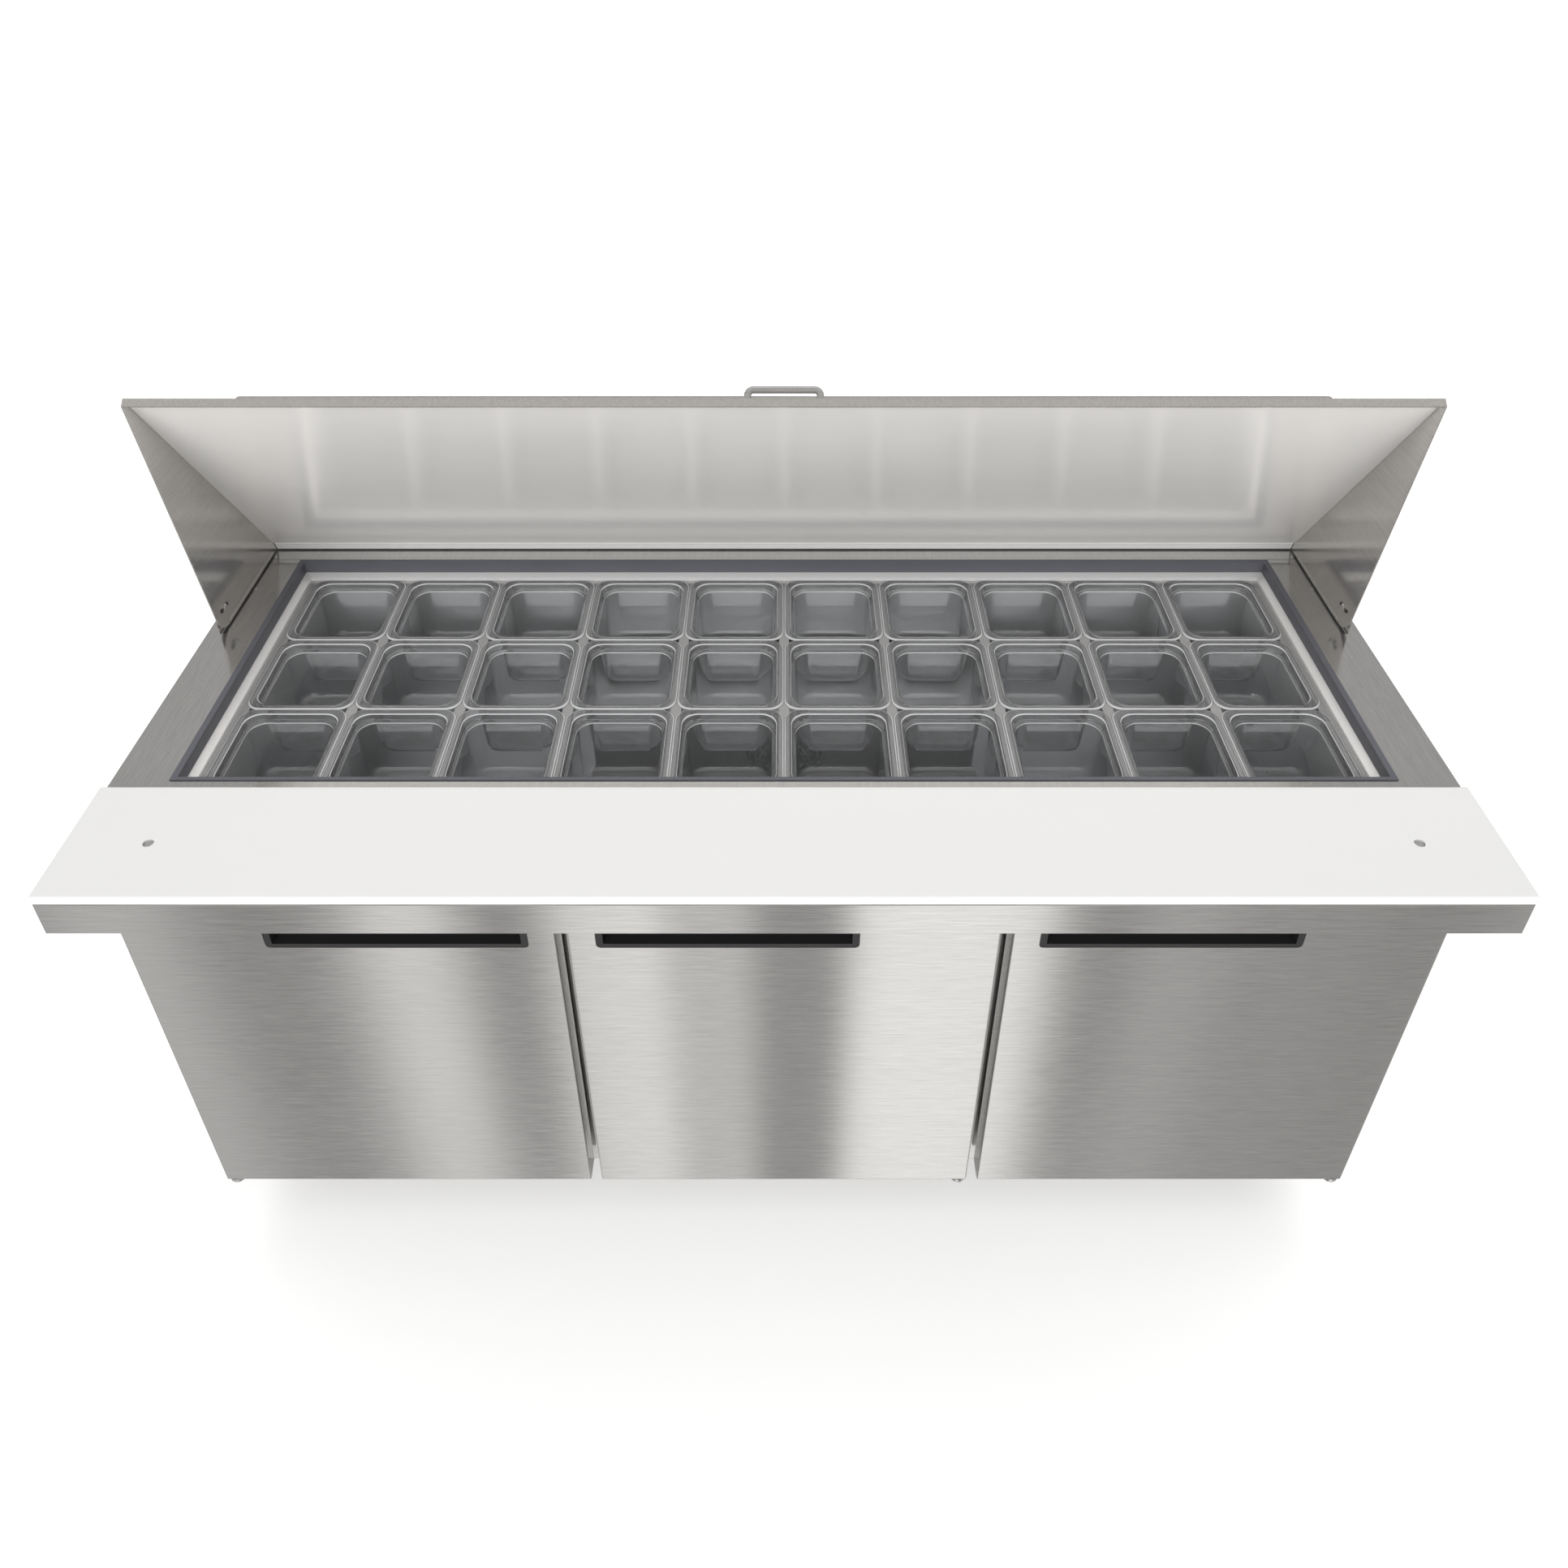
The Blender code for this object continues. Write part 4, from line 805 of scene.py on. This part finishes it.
def make_inner_panel(name, finishes):
    """Pressed aluminium panel inside the door's gasket, with a raised rim and a shallow dish.

    Its steps are (inset, height over the door's back, corner radius)."""
    low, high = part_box(f"door_{name}_gasket")
    door_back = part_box(f"door_{name}")[1].y
    margin = 0.024
    width = high.x - low.x - 2 * margin
    height = high.z - low.z - 2 * margin
    centre = (low + high) / 2
    steps = ((0.0, 0.0002, 0.012), (0.001, 0.0030, 0.012), (0.004, 0.0056, 0.012),
             (0.008, 0.0064, 0.012), (0.034, 0.0064, 0.018), (0.038, 0.0058, 0.020),
             (0.044, 0.0026, 0.022), (0.050, 0.0020, 0.022))
    shape = bmesh.new()
    rings = []
    for inset, lift, radius in steps:
        outline = rounded_rectangle(width - 2 * inset, height - 2 * inset, radius, 5)
        rings.append([(centre.x + x, door_back + lift, centre.z + z) for x, z in outline])
    skin(shape, rings)
    finish_piece(f"door_{name}_inner_panel", shape, finishes["inner_aluminium"], f"{name}_door",
                 40)


def make_hinge_screws(name, finishes):
    """Two screws in the lower hinge bracket of each door."""
    low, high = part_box(f"door_{name}_hinge")
    shape = bmesh.new()
    x = (low.x + high.x) / 2
    pin_height = 0.015
    plate_thickness = 0.007
    underside = high.z - pin_height - plate_thickness
    for y in (high.y - 0.010, high.y - 0.024):
        screw_head(shape, (x, y, underside), (0, 0, -1), SMALL_SCREW_RADIUS)
    finish_piece(f"door_{name}_hinge_screws", shape, finishes["smooth_steel"], "table")


# ---------------------------------------------------------------- lid and hood

def make_lid_handle(finishes):
    """Round bent-rod pull in place of the coarser one, standing square on the lid's outer skin."""
    low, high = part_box("lid_handle")
    outward = Vector((0, math.sin(LID_ANGLE), math.cos(LID_ANGLE)))
    side = high.x - HANDLE_RADIUS
    foot_y = low.y + HANDLE_RADIUS * outward.z
    foot_z = low.z + HANDLE_RADIUS * outward.y
    top_y = high.y - HANDLE_RADIUS
    top_z = high.z - HANDLE_RADIUS
    path = []
    for sign in (-1, 1):
        foot = Vector((sign * side, foot_y, foot_z))
        corner = Vector((sign * side, top_y, top_z))
        arc = handle_bend(foot, corner, Vector((-sign, 0, 0)))
        half = [foot, foot.lerp(arc[0], 0.5)] + arc
        path += half if sign < 0 else half[::-1]
    shape = bmesh.new()
    tube(shape, path, HANDLE_RADIUS, 28)
    piece = finish_piece("lid_pull", shape, finishes["smooth_steel"], "lid", 60)
    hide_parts("lid_handle")


def handle_bend(foot, corner, along):
    """Points of the round bend that takes the place of a sharp corner between a leg and the grip."""
    leg = (foot - corner).normalized()
    middle = corner + (leg + along) * HANDLE_BEND
    arc = []
    for step in range(11):
        turn = math.radians(9 * step)
        arc.append(middle - along * HANDLE_BEND * math.cos(turn) - leg * HANDLE_BEND * math.sin(turn))
    return arc


def make_lid_trim(finishes):
    """Trim along the foot of the lid's lining: two beads over a flat strip, near-white as a painted
    highlight for the shine on its beads.

    The profile is (share of the lip's height, how far it stands proud)."""
    low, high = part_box("lid_liner")
    lip_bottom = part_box("lid_shell")[0].z + 0.0016
    lip_top = low.z + 0.0015
    slope = math.tan(LIP_LEAN)
    profile = ((0.0, 0.0), (0.0, 0.0009), (0.03, 0.0013), (0.60, 0.0013), (0.64, 0.0020),
               (0.70, 0.0024), (0.76, 0.0020), (0.80, 0.0013), (0.90, 0.0013), (0.94, 0.0021),
               (1.02, 0.0026), (1.10, 0.0021), (1.14, 0.0008), (1.14, 0.0))
    shape = bmesh.new()
    half = high.x - 0.0006
    back = high.y + 0.0099
    rings = []
    for x in (-half, half):
        ring = []
        for share, proud in profile:
            z = lip_bottom + share * (lip_top - lip_bottom)
            y = back - (z - lip_bottom) * slope
            ring.append((x, y - proud * math.cos(LIP_LEAN), z - proud * math.sin(LIP_LEAN)))
        rings.append(ring)
    skin(shape, rings)
    finish_piece("lid_lip_trim", shape, finishes["trim"], "lid", 25)


def wing_places():
    """Places on the lid's wings: pivot, inner face, foot, and how far back the foot reaches."""
    shell_low, shell_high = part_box("lid_shell")
    pivot_low, pivot_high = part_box("lid_pivot_left")
    pivot = (pivot_low + pivot_high) / 2
    inner_face = shell_high.x - 0.0020
    foot = shell_low.z + 0.0012
    rear = shell_high.y - 0.024
    return pivot, inner_face, foot, rear


def make_wing_hems(finishes):
    """Folded hem along the foot of each wing."""
    pivot, inner_face, foot, rear = wing_places()
    section = ((0.0, 0.0004), (0.0007, 0.0008), (0.0007, 0.0058), (0.0, 0.0070))
    shape = bmesh.new()
    for side in (-1, 1):
        rings = []
        for y in (pivot.y + 0.004, rear):
            rings.append([(side * (inner_face - proud), y, foot + height) for proud, height in section])
        skin(shape, rings)
    finish_piece("lid_wing_hems", shape, finishes["lid_steel"], "lid", 25)


def make_pivot_shadow_heads(finishes):
    """Two small black heads beside each pivot, on the wing's inner face; their black is painted shadow,
    for the dark dots of shade flanking the pivot screw.
    """
    pivot, inner_face, _, _ = wing_places()
    head = ((0.0032, 0.0), (0.0032, 0.0010), (0.0024, 0.0016))
    shape = bmesh.new()
    for side in (-1, 1):
        for offset in (-0.0105, 0.0105):
            place = (side * inner_face, pivot.y + offset, pivot.z)
            # Painted shadow: black heads where the pivot screw's shadow dots fall.
            turned(shape, head, place, (-side, 0, 0), 16)
    finish_piece("lid_pivot_shadow_heads", shape, finishes["black_plastic"], "lid")


def make_hood_foot(finishes):
    """A black strip on the worktop under each wing, a painted shade for the dark gap under the wing's
    foot, and the small screws beside it.
    """
    pivot, inner_face, _, rear = wing_places()
    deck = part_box("worktop")[1].z
    gap_shade_strip = bmesh.new()
    screws = bmesh.new()
    for side in (-1, 1):
        left, right = sorted((side * (inner_face - 0.0012), side * (inner_face + 0.0033)))
        # Painted shade: a dark strip where the gap under the wing lies in shade.
        box(gap_shade_strip, (left, pivot.y - 0.022, deck), (right, rear, deck + 0.0008))
        for y in (pivot.y + 0.106, pivot.y + 0.207):
            screw_head(screws, (side * (inner_face - 0.0045), y, deck), (0, 0, 1), 0.0026)
    finish_piece("hood_foot_gap_shade", gap_shade_strip, finishes["seal_rubber"], "table")
    finish_piece("hood_foot_screws", screws, finishes["smooth_steel"], "table")


def make_hood_screws(finishes):
    """Screws along the foot of the fixed hood, at its back and its ends."""
    low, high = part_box("rear_hood")
    level = low.z + 0.018
    shape = bmesh.new()
    for share in (0.03, 0.22, 0.41, 0.59, 0.78, 0.97):
        screw_head(shape, (low.x + share * (high.x - low.x), high.y, level), (0, 1, 0))
    for side, x in ((-1, low.x), (1, high.x)):
        for inset in (0.030, 0.120, 0.210):
            screw_head(shape, (x, high.y - inset, level), (side, 0, 0))
    finish_piece("rear_hood_screws", shape, finishes["smooth_steel"], "table")


# ---------------------------------------------------------------- rear panel and machinery

def make_louvres(finishes):
    """Pressed hoods over the slots of the rear grille.

    The ends are (share of a louvre's length, share of its reach)."""
    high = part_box("rear_grille")[1]
    first_slot = high.z - 0.049
    ends = ((-0.5, 0.1), (-0.485, 0.8), (-0.46, 1.0), (0.46, 1.0), (0.485, 0.8), (0.5, 0.1))
    shape = bmesh.new()
    for centre in LOUVRE_CENTRES:
        for row in range(LOUVRE_ROWS):
            top = first_slot - row * LOUVRE_PITCH
            skin(shape, [louvre_ring(centre + end * LOUVRE_LENGTH, high.y, top, LOUVRE_REACH * share)
                         for end, share in ends])
    finish_piece("rear_grille_louvres", shape, finishes["stainless"], "table", 40)


def louvre_ring(x, face, top, reach):
    """Section of a louvre: a thin sheet that curves out from above the slot and hangs over it."""
    outer = []
    for step in range(6):
        angle = math.radians(90) * step / 5
        y = face + max(reach, LOUVRE_SHEET) * math.sin(angle)
        z = top - LOUVRE_DROP * 0.75 * (1 - math.cos(angle))
        outer.append((x, y, z))
    inner = [(x, max(face, y - LOUVRE_SHEET), z - LOUVRE_SHEET) for _, y, z in reversed(outer)]
    return outer + inner


def make_grille_screws(finishes):
    """Screws round the edge of the rear grille's panel."""
    low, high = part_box("rear_grille")
    left = low.x + 0.020
    right = high.x - 0.020
    bottom = low.z + 0.018
    top = high.z - 0.018
    middle = (low.z + high.z) / 2
    places = [(x, z) for x in (left, -0.29, 0.28, right) for z in (bottom, top)]
    places += [(left, middle), (right, middle)]
    shape = bmesh.new()
    for x, z in places:
        screw_head(shape, (x, high.y, z), (0, 1, 0))
    finish_piece("rear_grille_screws", shape, finishes["smooth_steel"], "table")


def make_fan_guard(finishes):
    """Wire guard over the mouth of the evaporator's fan: rings on crossed spokes, and four screws."""
    fan_low, fan_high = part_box("evaporator_fan")
    centre = (fan_low + fan_high) / 2
    place = Vector((centre.x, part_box("evaporator_cover")[0].y - 0.0012, centre.z))
    right = Vector((1, 0, 0))
    up = Vector((0, 0, 1))
    arms = []
    for angle in (45, 135, 225, 315):
        turn = math.radians(angle)
        arms.append(right * math.cos(turn) + up * math.sin(turn))
    shape = bmesh.new()
    for radius in (0.018, 0.031, 0.044, 0.057, 0.070):
        tube(shape, circle(place, right, up, radius, 40), 0.0011, 8, loop=True)
    for arm in arms[:2]:
        tube(shape, [place - arm * 0.074, place + arm * 0.074], 0.0014, 8)
    for arm in arms:
        screw_place = place + arm * 0.079 + Vector((0, 0.0012, 0))
        screw_head(shape, screw_place, (0, -1, 0), SMALL_SCREW_RADIUS)
    finish_piece("evaporator_fan_guard", shape, finishes["smooth_steel"], "table")


def dial_place():
    """Middle of the dial on the control box, behind the temperature knob."""
    low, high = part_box("thermostat_knob")
    centre = (low + high) / 2
    return Vector((centre.x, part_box("control_box")[1].y, centre.z))


def make_dial_plate(finishes):
    """Thin ring round the temperature knob."""
    outer = 0.0245
    inner = 0.0178
    section = ((outer, 0.0), (outer, 0.0002), (inner, 0.00021), (inner, 0.0))
    shape = bmesh.new()
    turned(shape, section, dial_place(), (0, 1, 0), 48)
    finish_piece("dial_plate", shape, finishes["smooth_steel"], "table")


def make_dial_ticks(finishes):
    """Ten tick marks on the dial, 30 degrees apart, with their gap at the bottom."""
    place = dial_place() + Vector((0, 0.0002, 0))
    lift = Vector((0, 0.0003, 0))
    shape = bmesh.new()
    for number in range(10):
        angle = math.radians(225 - 30 * number)
        outward = Vector((math.cos(angle), 0, math.sin(angle)))
        side = Vector((-math.sin(angle), 0, math.cos(angle))) * 0.0005
        start = place + outward * 0.0192
        end = start + outward * 0.0040
        ring = [start - side, start + side, end + side, end - side]
        skin(shape, [ring, [corner + lift for corner in ring]])
    finish_piece("dial_ticks", shape, finishes["black_plastic"], "table")


def make_knob_pointer(finishes):
    """Raised bar on the knob's face, from its middle to its edge."""
    low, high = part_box("thermostat_knob")
    centre = (low + high) / 2
    width = 0.0014
    length = 0.0095
    shape = bmesh.new()
    rings = []
    for inset, height in ((0.0, -0.0003), (0.0, 0.0003), (0.0002, 0.0005)):
        outline = rounded_rectangle(width - 2 * inset, length - 2 * inset, 0.0006 - inset, 4)
        rings.append([(centre.x + x, high.y + height, centre.z + length / 2 + z) for x, z in outline])
    skin(shape, rings)
    finish_piece("knob_pointer", shape, finishes["board"], "knob")


def make_power_inlet(finishes):
    """Appliance inlet with a flange and a socket, in place of the plain stub."""
    low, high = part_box("power_inlet")
    centre = (low + high) / 2
    reach = high.y - low.y
    steps = ((0.0, 0.0300, 0.0235), (0.0035, 0.0300, 0.0235), (0.0042, 0.0288, 0.0223),
             (0.0042, 0.0245, 0.0180), (reach, 0.0240, 0.0175), (reach, 0.0205, 0.0140),
             (0.0030, 0.0200, 0.0135))
    shape = bmesh.new()
    rings = []
    for depth, width, height in steps:
        outline = rounded_rectangle(width, height, 0.0025, 3)
        rings.append([(centre.x + x, low.y + depth, centre.z + z) for x, z in outline])
    skin(shape, rings)
    piece = finish_piece("appliance_inlet", shape, finishes["black_plastic"], "table")
    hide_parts("power_inlet")


def make_inlet_pins(finishes):
    """Three flat pins inside the appliance inlet."""
    low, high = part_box("power_inlet")
    centre = (low + high) / 2
    half_width = 0.0010
    half_height = 0.0022
    shape = bmesh.new()
    for x, z in ((-0.006, -0.0015), (0.006, -0.0015), (0.0, 0.0025)):
        pin_x = centre.x + x
        pin_z = centre.z + z
        box(shape, (pin_x - half_width, low.y + 0.0020, pin_z - half_height),
            (pin_x + half_width, high.y - 0.0010, pin_z + half_height))
    finish_piece("appliance_inlet_pins", shape, finishes["smooth_steel"], "table")


# ---------------------------------------------------------------- main


def main():
    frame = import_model()
    make_camera()
    make_floor()
    for softbox in SOFTBOXES:
        make_softbox(*softbox)
    make_world()
    bpy.context.scene.view_settings.view_transform = "Standard"
    finishes = make_materials()
    paint_cad(frame, finishes)
    make_pans(finishes)
    make_shelves(finishes)
    make_door_details(finishes)
    make_lid_handle(finishes)
    make_lid_trim(finishes)
    make_wing_hems(finishes)
    make_pivot_shadow_heads(finishes)
    make_hood_foot(finishes)
    make_hood_screws(finishes)
    make_louvres(finishes)
    make_grille_screws(finishes)
    make_fan_guard(finishes)
    make_dial_plate(finishes)
    make_dial_ticks(finishes)
    make_knob_pointer(finishes)
    make_power_inlet(finishes)
    make_inlet_pins(finishes)


main()
